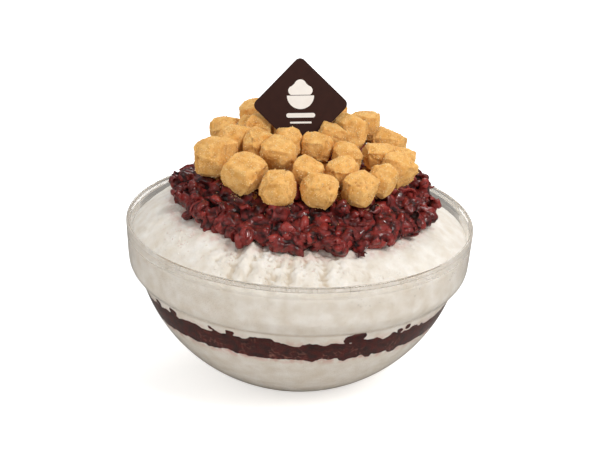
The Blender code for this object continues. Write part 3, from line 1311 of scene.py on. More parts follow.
@dataclass
class Mound:
    """The mound that stands out of the bowl: it leans and sits a little towards +X."""

    lean: float = 0.035
    shift: float = 1.5 * MM
    shift_low: float = 74 * MM
    shift_high: float = 85 * MM
    crown: tuple = (
        (0, 95), (32, 93.2), (54, 89.4), (64, 86.6), (69, 84), (73.5, 81), (78, 77.2), (82, 73.8),
    )
    dome_top: float = 115 * MM
    dome_fall: float = 4.2
    bean_edge: tuple = ((59.5, 100.1), (63.6, 98.3), (66, 94.6), (66.2, 90.4), (63.6, 87.2))

    def dome(self, radii: np.ndarray | float) -> np.ndarray | float:
        """Height of the beans' smooth dome at radii, before the lean."""
        return self.dome_top - self.dome_fall * radii**2

    def ice_height(self, radii: np.ndarray) -> np.ndarray:
        """Work out the crown's smooth height, before the lean.

        Args:
            radii: distances from its middle.

        Returns:
            Heights at the radii.
        """
        samples, half = 165, 10
        table = np.array(self.crown) * MM
        fine = np.linspace(0, table[-1, 0], samples)
        raw = np.interp(fine, table[:, 0], table[:, 1])
        kernel = np.hanning(2 * half + 1)
        padded = np.concatenate([raw[half:0:-1], raw, 2 * raw[-1] - raw[-2 : -2 - half : -1]])
        return np.interp(radii, fine, np.convolve(padded, kernel / kernel.sum(), mode="valid"))

    def placed(self, ring: np.ndarray) -> np.ndarray:
        """Lean and shift a ring of points, by how high they stand out of the bowl.

        Args:
            ring: the points.

        Returns:
            The moved points.
        """
        weight = np.interp(ring[:, 2], [self.shift_low, self.shift_high], [0, 1])
        lean = np.interp(ring[:, 2], [self.shift_low, self.shift_high], [0.2, 1])
        moved = ring.copy()
        moved[:, 2] -= self.lean * ring[:, 0] * lean
        moved[:, 0] += self.shift * weight
        return moved


@dataclass
class ShavedIce:
    """Milk ice below the bean layer and above it, up to its fluffy crown."""

    bowl: Bowl
    mound: Mound
    into_wall: float = 0.12 * MM
    seam: float = 42.5 * MM
    at_glass: float = 74 * MM
    steps: int = 640
    front: float = math.radians(-94)
    ring_gap: float = 0.55 * MM
    relief: tuple = ((0.9, 15), (0.45, 5), (0.22, 1.9), (2.3, 5.5))
    fluted_grain: float = 0.6
    flakes_inner: float = 60 * MM
    flakes_outer: float = 79 * MM
    flake_size: tuple = (1.5, 1.0, 0.5)

    def make_lower(self) -> bpy.types.Object:
        """Build the ice in the bottom of the bowl.

        Returns:
            The ice.
        """
        angles = circle(240)
        face = self.bowl.inset(self.bowl.wall - self.into_wall)
        side = [(r, z) for r, z in face if z < self.seam and r > 0]
        widest = self.bowl.inside_radius(self.seam, self.into_wall)
        top = [(widest * share, self.seam) for share in (0.5, 0.9, 1)]
        rings = [ring_at(angles, r, z) for r, z in [*top, *side]]
        finish = IceFinish("milk_ice_lower", stained_most=0.75)
        return polar_mesh("lower_ice", rings, finish.material())

    def off_front(self, angles: np.ndarray) -> np.ndarray:
        """How far round the bowl angles lie from the fluted front."""
        return np.abs(np.angle(np.exp(1j * (angles - self.front))))

    def crown_ring(self, angles: np.ndarray, radius: float) -> np.ndarray:
        """Shape one ring of the crown, with lumps, flutes at the front and fine relief.

        Args:
            angles: directions round the bowl.
            radius: the ring's radius.

        Returns:
            Its points.
        """
        ring = ring_at(angles, radius, self.mound.ice_height(np.array([radius]))[0])
        turn = self.off_front(angles)
        fluted = 1 - between(turn, math.radians(16), math.radians(38))
        rough = 1 - 0.5 * between(turn, math.radians(30), math.radians(60))
        ribs = ring_at(angles, 80 * MM, radius * 0.22)
        fade = between(np.full_like(angles, radius), 55 * MM, 62 * MM)
        edge = 1 - 0.6 * between(np.full_like(angles, radius), 78 * MM, 82 * MM)
        (wide, wide_size), (lump, lump_size), (grain, grain_size), (rib, rib_size) = self.relief
        relief = (
            wide * rough * rumple(ring, wide_size * MM, 1)
            + lump * rough * rumple(ring, lump_size * MM, 2)
            + (grain + self.fluted_grain * fluted) * rumple(ring, grain_size * MM, 3)
            + rib * fluted * rumple(ribs, rib_size * MM, 4)
        )
        ring[:, 2] += relief * MM * fade * edge
        return self.mound.placed(ring)

    def make_upper(self) -> bpy.types.Object:
        """Build the ice from the bean layer up to its crown.

        Returns:
            The ice.
        """
        angles = circle(self.steps)
        wall = float(self.bowl.inside_radius(self.at_glass, self.into_wall))
        open_ring = np.arange(58 * MM, wall - 0.3 * MM, self.ring_gap)
        radii = [20 * MM, 40 * MM, 50 * MM, 55 * MM, *open_ring, wall]
        rings = [self.crown_ring(angles, radius) for radius in radii]
        rings[-1][:, :2] *= (wall / np.linalg.norm(rings[-1][:, :2], axis=1))[:, None]
        heights = np.linspace(self.at_glass - 3 * MM, self.seam, 40)
        rings += [ring_at(angles, self.bowl.inside_radius(z, self.into_wall), z) for z in heights]
        rings += [ring_at(angles, rings[-1][0, 0] * share, self.seam) for share in (0.9, 0.5)]
        finish = IceFinish("milk_ice_upper", stain_radius=68 * MM)
        return mark_hollows(polar_mesh("upper_ice", rings, finish.material()), 0.7 * MM, 24)

    def make_flakes(self, crown: bpy.types.Object) -> bpy.types.Object:
        """Build the loose flakes over the crown.

        Args:
            crown: the ice they lie on.

        Returns:
            The flakes, as one object.
        """

        def rule(points: np.ndarray, normals: np.ndarray) -> np.ndarray:
            """Most at the fluted front, and only on the open crown.

            Args:
                points: places.
                normals: which way they face.

            Returns:
                Densities of 0 to 1.
            """
            radii = np.hypot(points[:, 0], points[:, 1])
            top = (normals[:, 2] > 0.3) & (points[:, 2] > self.at_glass - 2 * MM)
            top &= (radii > self.flakes_inner) & (radii < self.flakes_outer)
            turn = self.off_front(np.arctan2(points[:, 1], points[:, 0]))
            loose = 0.12 + 0.88 * (1 - between(turn, math.radians(35), math.radians(75)))
            return top * loose * between(rumple(points, 8 * MM, 9), -0.4, 0.9)

        set_density(crown, rule)
        flake = pebble("flake", Vector(self.flake_size) * MM, 1)
        flakes = scattered(
            "ice_flakes", crown, flake, IceFinish("milk_ice_flakes", patch_size=2 * MM).material(),
            spacing=1.0 * MM, smallest=0.35, largest=1.2, stretch=0.35, lift=-0.12 * MM, tumble=0.45,
            dent=0.5 * MM, dent_size=0.8 * MM, seed=5,
        )
        discard(flake)
        return flakes


@dataclass
class BeanLayer:
    """Red-bean layer through the ice, pressed against the glass with ragged edges."""

    bowl: Bowl
    top: float = 47.6 * MM
    bottom: float = 37.2 * MM
    low: float = 32 * MM
    high: float = 55 * MM
    steps: int = 900
    ring_gap: float = 0.42 * MM
    proud: float = 0.28 * MM
    sunk: float = 0.02 * MM
    drifts: tuple = ((1.0, 24, 21), (0.8, 11, 22))
    lumps: tuple = ((1.4, 5.5, 41), (0.7, 2.4, 43), (0.2, 1.2, 44))
    chunks: tuple = (
        (-66, 50.9, 2.6), (-68, 49.8, 2.6), (-70.4, 48.8, 2.8), (-49, 48.5, 2.2), (-46, 49.3, 2),
        (-114, 49.4, 2), (-122, 49.2, 2), (-140, 49.4, 2), (-150, 49.4, 2),
    )

    def depth(self, angles: np.ndarray, height: float) -> np.ndarray:
        """Work out how far inside the layer's ragged outline points lie.

        Args:
            angles: directions round the bowl.
            height: height of the points.

        Returns:
            The depth of each point.
        """
        ring = ring_at(angles, 72 * MM, height)
        level = ring * (1, 1, 0)
        drift = sum(rise * MM * rumple(level, size * MM, seed) for rise, size, seed in self.drifts)
        inside = np.minimum(self.top + drift - height, height - self.bottom - drift * 0.6)
        for azimuth, centre, radius in self.chunks:
            across = (angles - math.radians(azimuth) + math.pi) % (2 * math.pi) - math.pi
            away = np.hypot(across * 74 * MM, (height - centre * MM) * 1.3)
            inside = np.maximum(inside, radius * MM - away)
        lumps = sum(rise * rumple(ring, size * MM, seed) for rise, size, seed in self.lumps)
        return np.maximum(inside + lumps * MM, inside - 1.3 * MM)

    def make(self, finish: BeanFinish) -> bpy.types.Object:
        """Build the layer.

        Args:
            finish: the bean finish.

        Returns:
            The layer.
        """
        angles = circle(self.steps)
        heights = np.arange(self.high, self.low, -self.ring_gap)
        rings = []
        for height in heights:
            shown = between(self.depth(angles, height), -0.3 * MM, 0.25 * MM)
            reach = self.sunk + (self.proud - self.sunk) * shown
            rings.append(ring_at(angles, self.bowl.inside_radius(height) + reach, height))
        inner = [ring_at(angles, rings[0][0, 0] * share, heights[0]) for share in (0.4, 0.8)]
        outer = [ring_at(angles, rings[-1][0, 0] * share, heights[-1]) for share in (0.8, 0.4)]
        layer = polar_mesh("red_bean_layer", [*inner, *rings, *outer], finish.material())
        self.store_skins(layer)
        return layer

    def store_skins(self, layer: bpy.types.Object) -> None:
        """Store where thin pale skins lie in the layer, in loose patches low in it.

        Args:
            layer: the layer.
        """
        points = vertex_points(layer.data)
        lines = 1 - between(np.abs(rumple(points, 2.6 * MM, 46)), 0.02, 0.12)
        low = 1 - between(points[:, 2], 40.5 * MM, 44 * MM)
        patches = between(rumple(points, 9 * MM, 47), -0.1, 0.4) * (0.35 + 0.65 * low)
        store(layer.data, "tint", lines * patches)


@dataclass
class BeanTopping:
    """Thick red-bean topping: paste with crushed beans, whole beans and curled skins."""

    mound: Mound
    inset: float = 4.2 * MM
    drop: float = 2.2 * MM
    steps: int = 200
    voxel: float = 0.55 * MM
    heap_radius: float = 46 * MM
    inset_from: float = 50 * MM
    drop_from: float = 96 * MM
    swell: float = 1.1 * MM
    dome_radii: tuple = (8, 20, 32, 42, 49, 55)
    under_radii: tuple = (58, 40, 20)
    chunk_size: tuple = (13.5, 8.4, 6.2)
    bean_size: tuple = (6.4, 4.6, 4.3)
    skin_length: float = 6.6 * MM
    skin_width: float = 4.4 * MM
    skin_curl: float = 1.6
    soften: int = 7
    kept_share: float = 0.55

    def core(self) -> bpy.types.Object:
        """Build the uneven core of the paste, inside its outline.

        Returns:
            The core.
        """
        angles = circle(self.steps)
        outline = [(r, self.mound.dome(r)) for r in np.array(self.dome_radii) * MM]
        outline += [(r * MM, z * MM) for r, z in self.mound.bean_edge]
        for radius in (r * MM for r in self.under_radii):
            outline.append((radius, float(self.mound.ice_height(np.array([radius]))[0]) - 1 * MM))
        rings = []
        for radius, height in outline:
            inset = self.inset * (radius > self.inset_from)
            drop = self.drop * (height > self.drop_from)
            ring = ring_at(angles, radius - inset, height - drop)
            swell = rumple(ring, 12 * MM, 51) * between(np.full_like(angles, radius), 40 * MM, 56 * MM)
            ring[:, :2] *= (1 + swell * self.swell / radius)[:, None]
            rings.append(self.mound.placed(ring))
        return polar_mesh("paste_core", rings)

    def spread(self, inner: float) -> Callable[[np.ndarray, np.ndarray], np.ndarray]:
        """Make a density rule: full on the open ring, and a share under the heap.

        Args:
            inner: share under the heap.

        Returns:
            The rule.
        """

        def rule(points: np.ndarray, normals: np.ndarray) -> np.ndarray:
            """Nothing where the ice covers the paste or where it faces down.

            Args:
                points: places.
                normals: which way they face.

            Returns:
                Densities of 0 to 1.
            """
            radii = np.hypot(points[:, 0] - self.mound.shift, points[:, 1])
            outside = between(radii, self.heap_radius - 6 * MM, self.heap_radius)
            above = points[:, 2] > self.mound.ice_height(radii) - self.mound.lean * points[:, 0] + 0.3 * MM
            return (inner + (1 - inner) * outside) * above * (normals[:, 2] > -0.75)

        return rule

    def make_paste(self, finish: BeanFinish) -> bpy.types.Object:
        """Run the core and crushed beans together into one wet mass.

        Args:
            finish: the paste's finish.

        Returns:
            The paste.
        """
        core = self.core()
        set_density(core, self.spread(0.4))
        chunk = pebble("crushed_bean", Vector(self.chunk_size) * MM)
        chunks = scattered(
            "crushed_beans", core, chunk, finish.material(), spacing=7.0 * MM, smallest=0.4, largest=1.2,
            stretch=0.35, lift=-0.1 * MM, tumble=1.4, dent=3.0 * MM, dent_size=11 * MM, seed=8,
        )
        discard(chunk)
        mass = joined("bean_mass", [core, chunks])
        remesh = mass.modifiers.new("melt", "REMESH")
        remesh.mode = "VOXEL"
        remesh.voxel_size = self.voxel
        soften = mass.modifiers.new("soften", "SMOOTH")
        soften.factor = 0.5
        soften.iterations = self.soften
        give(mass, roughen_tree(), {
            "Finish": finish.material(), "Wide": 3.2 * MM, "Wide Size": 18 * MM, "Fine": 0.8 * MM,
            "Fine Size": 2.6 * MM, "Crease": 1.2 * MM, "Crease Size": 9 * MM, "Fold": 4.2 * MM,
            "Fold Size": 12 * MM, "Fold Sweep": 1.5, "Seed": 12,
        })
        thin = mass.modifiers.new("thin", "DECIMATE")
        thin.ratio = self.kept_share
        return mark_hollows(baked(mass, "bean_paste"), 0.8 * MM, 12)

    def make_beans(self, paste: bpy.types.Object, finish: BeanFinish) -> bpy.types.Object:
        """Set whole and half beans in the paste.

        Args:
            paste: the paste.
            finish: the beans' finish.

        Returns:
            The beans, as one object.
        """
        set_density(paste, self.spread(0.3))
        bean = pebble("bean", Vector(self.bean_size) * MM)
        beans = scattered(
            "beans", paste, bean, finish.material(), spacing=9.0 * MM, smallest=0.6, largest=1.0,
            stretch=0.35, lift=-1.7 * MM, tumble=0.9, dent=2.8 * MM, dent_size=5 * MM, seed=14,
        )
        discard(bean)
        return beans

    def make_skins(self, paste: bpy.types.Object, finish: BeanFinish) -> bpy.types.Object:
        """Lay curled skins on the paste.

        Args:
            paste: the paste.
            finish: the skins' finish.

        Returns:
            The skins, as one object.
        """
        skin = curled_skin("skin", self.skin_length, self.skin_width, self.skin_curl)
        skins = scattered(
            "bean_skins", paste, skin, finish.material(), spacing=4.4 * MM, smallest=0.5, largest=1.2,
            stretch=0.3, lift=-0.8 * MM, tumble=0.8, dent=2.4 * MM, dent_size=6 * MM, seed=17,
        )
        discard(skin)
        return skins


@dataclass(frozen=True)
class Solid:
    """The CAD solid of a cake: its corners, faces and middle, and the axes of its closest box."""

    name: str
    corners: np.ndarray
    faces: np.ndarray
    middle_depths: np.ndarray
    middle: np.ndarray
    axes: np.ndarray

    def reach(self, way: np.ndarray) -> float:
        """How far the solid reaches from its middle in a direction."""
        return float(np.max((self.corners - self.middle) @ way))

    def inverse_reach(self, ways: np.ndarray) -> np.ndarray:
        """One over how far the solid's surface is from its middle along each direction."""
        return (ways @ self.faces.T / (self.middle_depths + 1e-9)).max(axis=1)


def measured(name: str, chance: np.random.Generator, trials: int = 900) -> Solid:
    """Measure the CAD solid of a cake.

    Args:
        name: its node.
        chance: the source of the trial axes.
        trials: how many boxes are tried.

    Returns:
        The measured solid.
    """
    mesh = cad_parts[name].data
    corners = vertex_points(mesh)
    axes = np.linalg.qr(chance.normal(size=(trials, 3, 3)))[0]
    spans = np.ptp(corners @ axes, axis=1)
    best = axes[np.argmin(spans.prod(axis=1))]
    turned = corners @ best
    middle = best @ (turned.max(axis=0) + turned.min(axis=0)) / 2
    faces = np.array([face.normal for face in mesh.polygons])
    depths = ((corners - middle) @ faces.T).max(axis=0)
    return Solid(name, corners, faces, depths, middle, best)


@dataclass
class RiceCakes:
    """Soft cubes of rice cake pressed together in a heap, and the powder that fell off them."""

    mound: Mound
    tag: Tag
    prefix: str = "rice_cake_"
    grid: int = 32
    blunt: float = 9.0
    dish: float = 0.09
    pressed: float = 18.0
    skew: float = 0.34
    cuts: int = 3
    settled: float = 0.88
    plump: float = 0.98
    spread: float = 1.02
    sunk: float = 0.8 * MM
    contact: float = 4 * MM
    least: float = 3 * MM
    core_drop: float = 3.5 * MM
    core_radius: float = 46 * MM
    core_floor: float = 97 * MM
    core_blur: float = 7 * MM
    below_tag: float = 1.5 * MM
    crumb_size: tuple = (0.8, 0.7, 0.55)
    seed: int = 41

    def nodes(self) -> list[str]:
        """Names of the CAD nodes of the cakes."""
        return sorted(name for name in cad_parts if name.startswith(self.prefix))

    def ball(self) -> tuple[np.ndarray, list]:
        """Spread directions evenly from a middle.

        Returns:
            The directions, and the faces between them.
        """
        bm = bmesh.new()
        bmesh.ops.create_cube(bm, size=2)
        bmesh.ops.subdivide_edges(bm, edges=bm.edges, cuts=self.grid - 1, use_grid_fill=True)
        ways = np.tan(np.array([vert.co for vert in bm.verts]) * math.pi / 4)
        faces = [[vert.index for vert in face.verts] for face in bm.faces]
        bm.free()
        return ways / np.linalg.norm(ways, axis=1)[:, None], faces

    def sides(self, cake: Solid, chance: np.random.Generator) -> tuple[np.ndarray, np.ndarray]:
        """Uneven sides of a cake, with a few corners cut off.

        Args:
            cake: its solid.
            chance: the source of the unevenness.

        Returns:
            The directions that the sides face, and their distances from the middle.
        """
        flat = np.concatenate([cake.axes.T, -cake.axes.T]) + chance.normal(scale=self.skew, size=(6, 3))
        signs = chance.choice((-1.0, 0.0, 1.0), size=(self.cuts, 3), p=(0.42, 0.16, 0.42))
        top = chance.normal(scale=0.3, size=3) + (0, 0, 1)
        ways = np.concatenate([flat, (signs + (0.01, 0, 0)) @ cake.axes.T, [top]])
        ways /= np.linalg.norm(ways, axis=1)[:, None]
        depths = np.array([cake.reach(way) for way in ways])
        depths[6:-1] *= chance.uniform(0.98, 1.08, size=self.cuts)
        depths[-1] *= self.settled
        return ways, depths * self.plump

    def contacts(self, cake: Solid, others: list[Solid]) -> tuple[np.ndarray, np.ndarray]:
        """Planes where a cake is pressed by its neighbours, by the beans and by the tag.

        Args:
            cake: its solid.
            others: the other cakes' solids.

        Returns:
            The directions of the planes, and their distances from the middle.
        """
        x, y = cake.middle[:2] - (self.mound.shift, 0)
        down = -np.array((2 * self.mound.dome_fall * x + self.mound.lean, 2 * self.mound.dome_fall * y, 1))
        down /= np.linalg.norm(down)
        found = [(down, cake.reach(down) + self.sunk)]
        for other in others:
            apart = other.middle - cake.middle
            distance = float(np.linalg.norm(apart))
            way = apart / distance
            gap = distance - cake.reach(way) - other.reach(-way)
            if gap < self.contact:
                found.append((way, cake.reach(way) + gap / 2))
        place = self.tag.upright()
        local = place.inverted() @ Vector(cake.middle)
        if abs(local.x) + abs(local.z) < self.tag.side:
            way = np.array(place.to_3x3() @ Vector((0, -math.copysign(1, local.y), 0)))
            found.append((way, abs(local.y) - self.tag.thickness / 2))
        ways, depths = zip(*found)
        return np.array(ways), np.maximum(depths, self.least)

    def make_cake(
        self, cake: Solid, others: list[Solid], number: int, material: bpy.types.Material
    ) -> bpy.types.Object:
        """Build one cake: a soft block with flat sides, creased and powdered.

        The shares of its planes along each direction are raised to a power and added up, which
        rounds the edges between them. The power is lower for its own sides than for its solid
        and for the planes where it is pressed, so those stay crisp.

        Args:
            cake: its solid.
            others: the other cakes' solids.
            number: its number, which seeds its shape.
            material: its finish.

        Returns:
            The object.
        """
        chance = np.random.default_rng(self.seed + number)
        ball, faces = self.ball()
        ways, depths = self.sides(cake, chance)
        blunt = self.blunt * chance.uniform(0.85, 1.35)
        shares = np.clip(ball @ ways.T / depths, 0, None) ** blunt
        flat = 2 * shares.max(axis=1) / shares.sum(axis=1) - 1
        inverse = shares.sum(axis=1) ** (self.pressed / blunt)
        inverse += (cake.inverse_reach(ball) / self.spread) ** self.pressed
        ways, depths = self.contacts(cake, others)
        inverse += (np.clip(ball @ ways.T / depths, 0, None) ** self.pressed).sum(axis=1)
        reach = inverse ** (-1 / self.pressed) * (1 + self.dish * (0.35 - flat))
        points = cake.middle + ball * reach[:, None]
        body = mesh_object(cake.name, points.tolist(), faces)
        give(body, roughen_tree(), {
            "Finish": material, "Wide": 1.8 * MM, "Wide Size": 9 * MM, "Fine": 0.5 * MM,
            "Fine Size": 1.2 * MM, "Crease": 0.22 * MM, "Crease Size": 16 * MM, "Seed": number,
        })
        return mark_hollows(baked(body, f"powdered_{cake.name}"), 0.25 * MM, 6)

    def make_cakes(self, material: bpy.types.Material) -> list[bpy.types.Object]:
        """Build all the cakes and hand each to the frame.

        Args:
            material: their powder.

        Returns:
            The cakes.
        """
        chance = np.random.default_rng(self.seed)
        solids = [measured(node, chance) for node in self.nodes()]
        cakes = []
        for number, cake in enumerate(solids, 1):
            others = [other for other in solids if other is not cake]
            cakes.append(publish(self.make_cake(cake, others, number, material), Slot.POWDER, cake.name))
        return cakes

    def make_core(self, material: bpy.types.Material) -> bpy.types.Object:
        """Build the powdered middle of the heap, clear of the tag's corner.

        Args:
            material: its powder, in darker colours that are painted shade.

        Returns:
            The core.
        """
        chance = np.random.default_rng(self.seed)
        middles = np.array([measured(node, chance, 8).middle for node in self.nodes()])
        tip = np.array(self.tag.upright() @ Vector((0, 0, -self.tag.side / math.sqrt(2))))
        angles = circle(150)
        rings = []
        for radius in np.arange(1, 47, 1) * MM:
            ring = ring_at(angles, radius, 0)
            flat = ring[:, :2] + (self.mound.shift, 0)
            bed = self.mound.dome(radius) - (3 + 2.2 * float(between(radius, 35 * MM, 43 * MM))) * MM
            away = np.linalg.norm(flat[:, None] - middles[None, :, :2], axis=2)
            weights = np.exp(-((away / self.core_blur) ** 2))
            level = (weights @ middles[:, 2] + 0.5 * bed) / (weights.sum(axis=1) + 0.5)
            clear = np.linalg.norm(flat - tip[:2], axis=1)
            ring[:, 2] = np.minimum(level - self.core_drop, tip[2] - self.below_tag + 0.9 * clear)
            ring[:, 0] += self.mound.shift
            rings.append(ring)
        rings += [ring_at(angles, share * self.core_radius, self.core_floor) for share in (0.98, 0.4)]
        core = polar_mesh("heap_core", rings)
        give(core, roughen_tree(), {
            "Finish": material, "Wide": 3 * MM, "Wide Size": 9 * MM, "Fine": 0.6 * MM,
            "Fine Size": 1.3 * MM, "Seed": 77,
        })
        return mark_hollows(baked(core, "heap_core"), 0.25 * MM, 6)

    def make_crumbs(self, cakes: list[bpy.types.Object], material: bpy.types.Material) -> bpy.types.Object:
        """Build the clots of powder that cling to the cakes.

        Args:
            cakes: the cakes.
            material: the powder.

        Returns:
            The clots, as one object.
        """
        shells = joined("shells", [linked("shell", cake.data.copy()) for cake in cakes])
        set_density(shells, lambda points, _: 0.15 + 0.85 * between(rumple(points, 4 * MM, 61), 0.0, 0.9))
        crumb = pebble("crumb", Vector(self.crumb_size) * MM, 1)
        crumbs = scattered(
            "powder_clots", shells, crumb, material, spacing=1.1 * MM, smallest=0.35, largest=1.1,
            stretch=0.35, lift=0.12 * MM, tumble=1.5, dent=0.4 * MM, dent_size=0.5 * MM, seed=20,
        )
        discard(crumb, shells)
        return crumbs

    def make_fallen(self, paste: bpy.types.Object, material: bpy.types.Material) -> bpy.types.Object:
        """Build the powder that fell on the beans round the heap, most at the front.

        Args:
            paste: the paste it lies on.
            material: the damp powder.

        Returns:
            The powder, as one object.
        """
        bed = linked("bed", paste.data.copy())
        bed.data.attributes.remove(bed.data.attributes["density"])

        def rule(points: np.ndarray, normals: np.ndarray) -> np.ndarray:
            """A clumpy ring round the heap, where the paste faces up.

            Args:
                points: places.
                normals: which way they face.

            Returns:
                Densities of 0 to 1.
            """
            radii = np.hypot(points[:, 0] - self.mound.shift, points[:, 1])
            ring = between(radii, 30 * MM, 42 * MM) * (1 - between(radii, 49 * MM, 56 * MM))
            clumps = between(rumple(points, 5 * MM, 71), 0.05, 0.9)
            front = 0.2 + 0.8 * between(-points[:, 1], 0, 30 * MM)
            return ring * clumps * front * (normals[:, 2] > 0.1)

        set_density(bed, rule)
        crumb = pebble("fallen_crumb", Vector(self.crumb_size) * MM, 1)
        fallen = scattered(
            "fallen_powder", bed, crumb, material, spacing=0.8 * MM, smallest=0.3, largest=1.1,
            stretch=0.4, lift=0.2 * MM, tumble=1.5, dent=0.4 * MM, dent_size=0.5 * MM, seed=24,
        )
        discard(crumb, bed)
        return fallen


@dataclass
class Tag:
    """Square plate that stands on a rounded corner and leans back, with a plain pictogram."""

    side: float = 33.6 * MM
    thickness: float = 2 * MM
    corner: float = 3 * MM
    centre: Vector = field(default_factory=lambda: Vector((-1.9, 10.5, 134.6)) * MM)
    lean_back: float = math.radians(22)
    roll: float = math.radians(-3)
    softened: float = 0.25 * MM
    ink: float = 0.05 * MM

    def upright(self) -> Matrix:
        """Place of the tag's own frame, with its picture upright."""
        lean = Matrix.Rotation(-self.lean_back, 4, "X")
        return Matrix.Translation(self.centre) @ lean @ Matrix.Rotation(self.roll, 4, "Y")

    def make_plate(self, finish: TagFinish) -> bpy.types.Object:
        """Build the plate, with rounded corners and softened edges.

        Args:
            finish: the plate's finish.

        Returns:
            The plate.
        """
        bm = bmesh.new()
        bmesh.ops.create_cube(bm, size=1)
        bmesh.ops.scale(bm, vec=(self.side, self.thickness, self.side), verts=bm.verts)
        for through, offset, segments in ((True, self.corner, 10), (False, self.softened, 3)):
            edges = [edge for edge in bm.edges if self.goes_through(edge) == through]
            bmesh.ops.bevel(
                bm, geom=edges, offset=offset, segments=segments, profile=0.5, affect="EDGES"
            )
        bm.transform(self.upright() @ Matrix.Rotation(math.radians(45), 4, "Y"))
        return from_bmesh("tag_plate", bm, finish.material())

    def goes_through(self, edge: bmesh.types.BMEdge) -> bool:
        """Whether an edge runs from the plate's front to its back."""
        return abs(edge.verts[0].co.y - edge.verts[1].co.y) > self.thickness / 2

    def outlines(self) -> list[Outline]:
        """Draw the pictogram in millimetres: a dish, a soft mound on it, and two bars.

        Returns:
            The outlines.
        """
        dish = arc_outline(0, 4.4, 6.6, 180, 360)
        right = arc_outline(3.6, 6.8, 2.3, -65, 75)
        crest = arc_outline(0.0, 9.2, 3.0, 20, 160)
        left = arc_outline(-3.6, 6.8, 2.3, 105, 245)
        return [dish, right + crest + left, bar_outline(-5.2, 14.0, 2.2), bar_outline(-8.7, 10.5, 0.9)]

    def make_print(self, finish: TagFinish) -> bpy.types.Object:
        """Lay pale ink on the plate's front.

        Args:
            finish: the ink.

        Returns:
            The print.
        """
        bm = bmesh.new()
        for outline in self.outlines():
            front = [bm.verts.new((x * MM, 0, z * MM)) for x, z in outline]
            face = bm.faces.new(front)
            raised = bmesh.ops.extrude_face_region(bm, geom=[face])
            moved = [item for item in raised["geom"] if isinstance(item, bmesh.types.BMVert)]
            bmesh.ops.translate(bm, vec=(0, -self.ink * 2, 0), verts=moved)
        bmesh.ops.recalc_face_normals(bm, faces=bm.faces)
        bmesh.ops.triangulate(bm, faces=bm.faces)
        bm.transform(self.upright() @ Matrix.Translation((0, self.ink - self.thickness / 2, 0)))
        return from_bmesh("tag_print", bm, finish.material())


def arc_outline(x: float, z: float, radius: float, start: float, end: float) -> Outline:
    """Points along an arc, in degrees anticlockwise."""
    angles = np.radians(np.linspace(start, end, 19))
    return [(x + radius * math.cos(a), z + radius * math.sin(a)) for a in angles]


def bar_outline(z: float, length: float, height: float) -> Outline:
    """A bar with round ends, centred across the tag."""
    half = (length - height) / 2
    return arc_outline(half, z, height / 2, -90, 90) + arc_outline(-half, z, height / 2, 90, 270)


# ---------------------------------------------------------------- studio


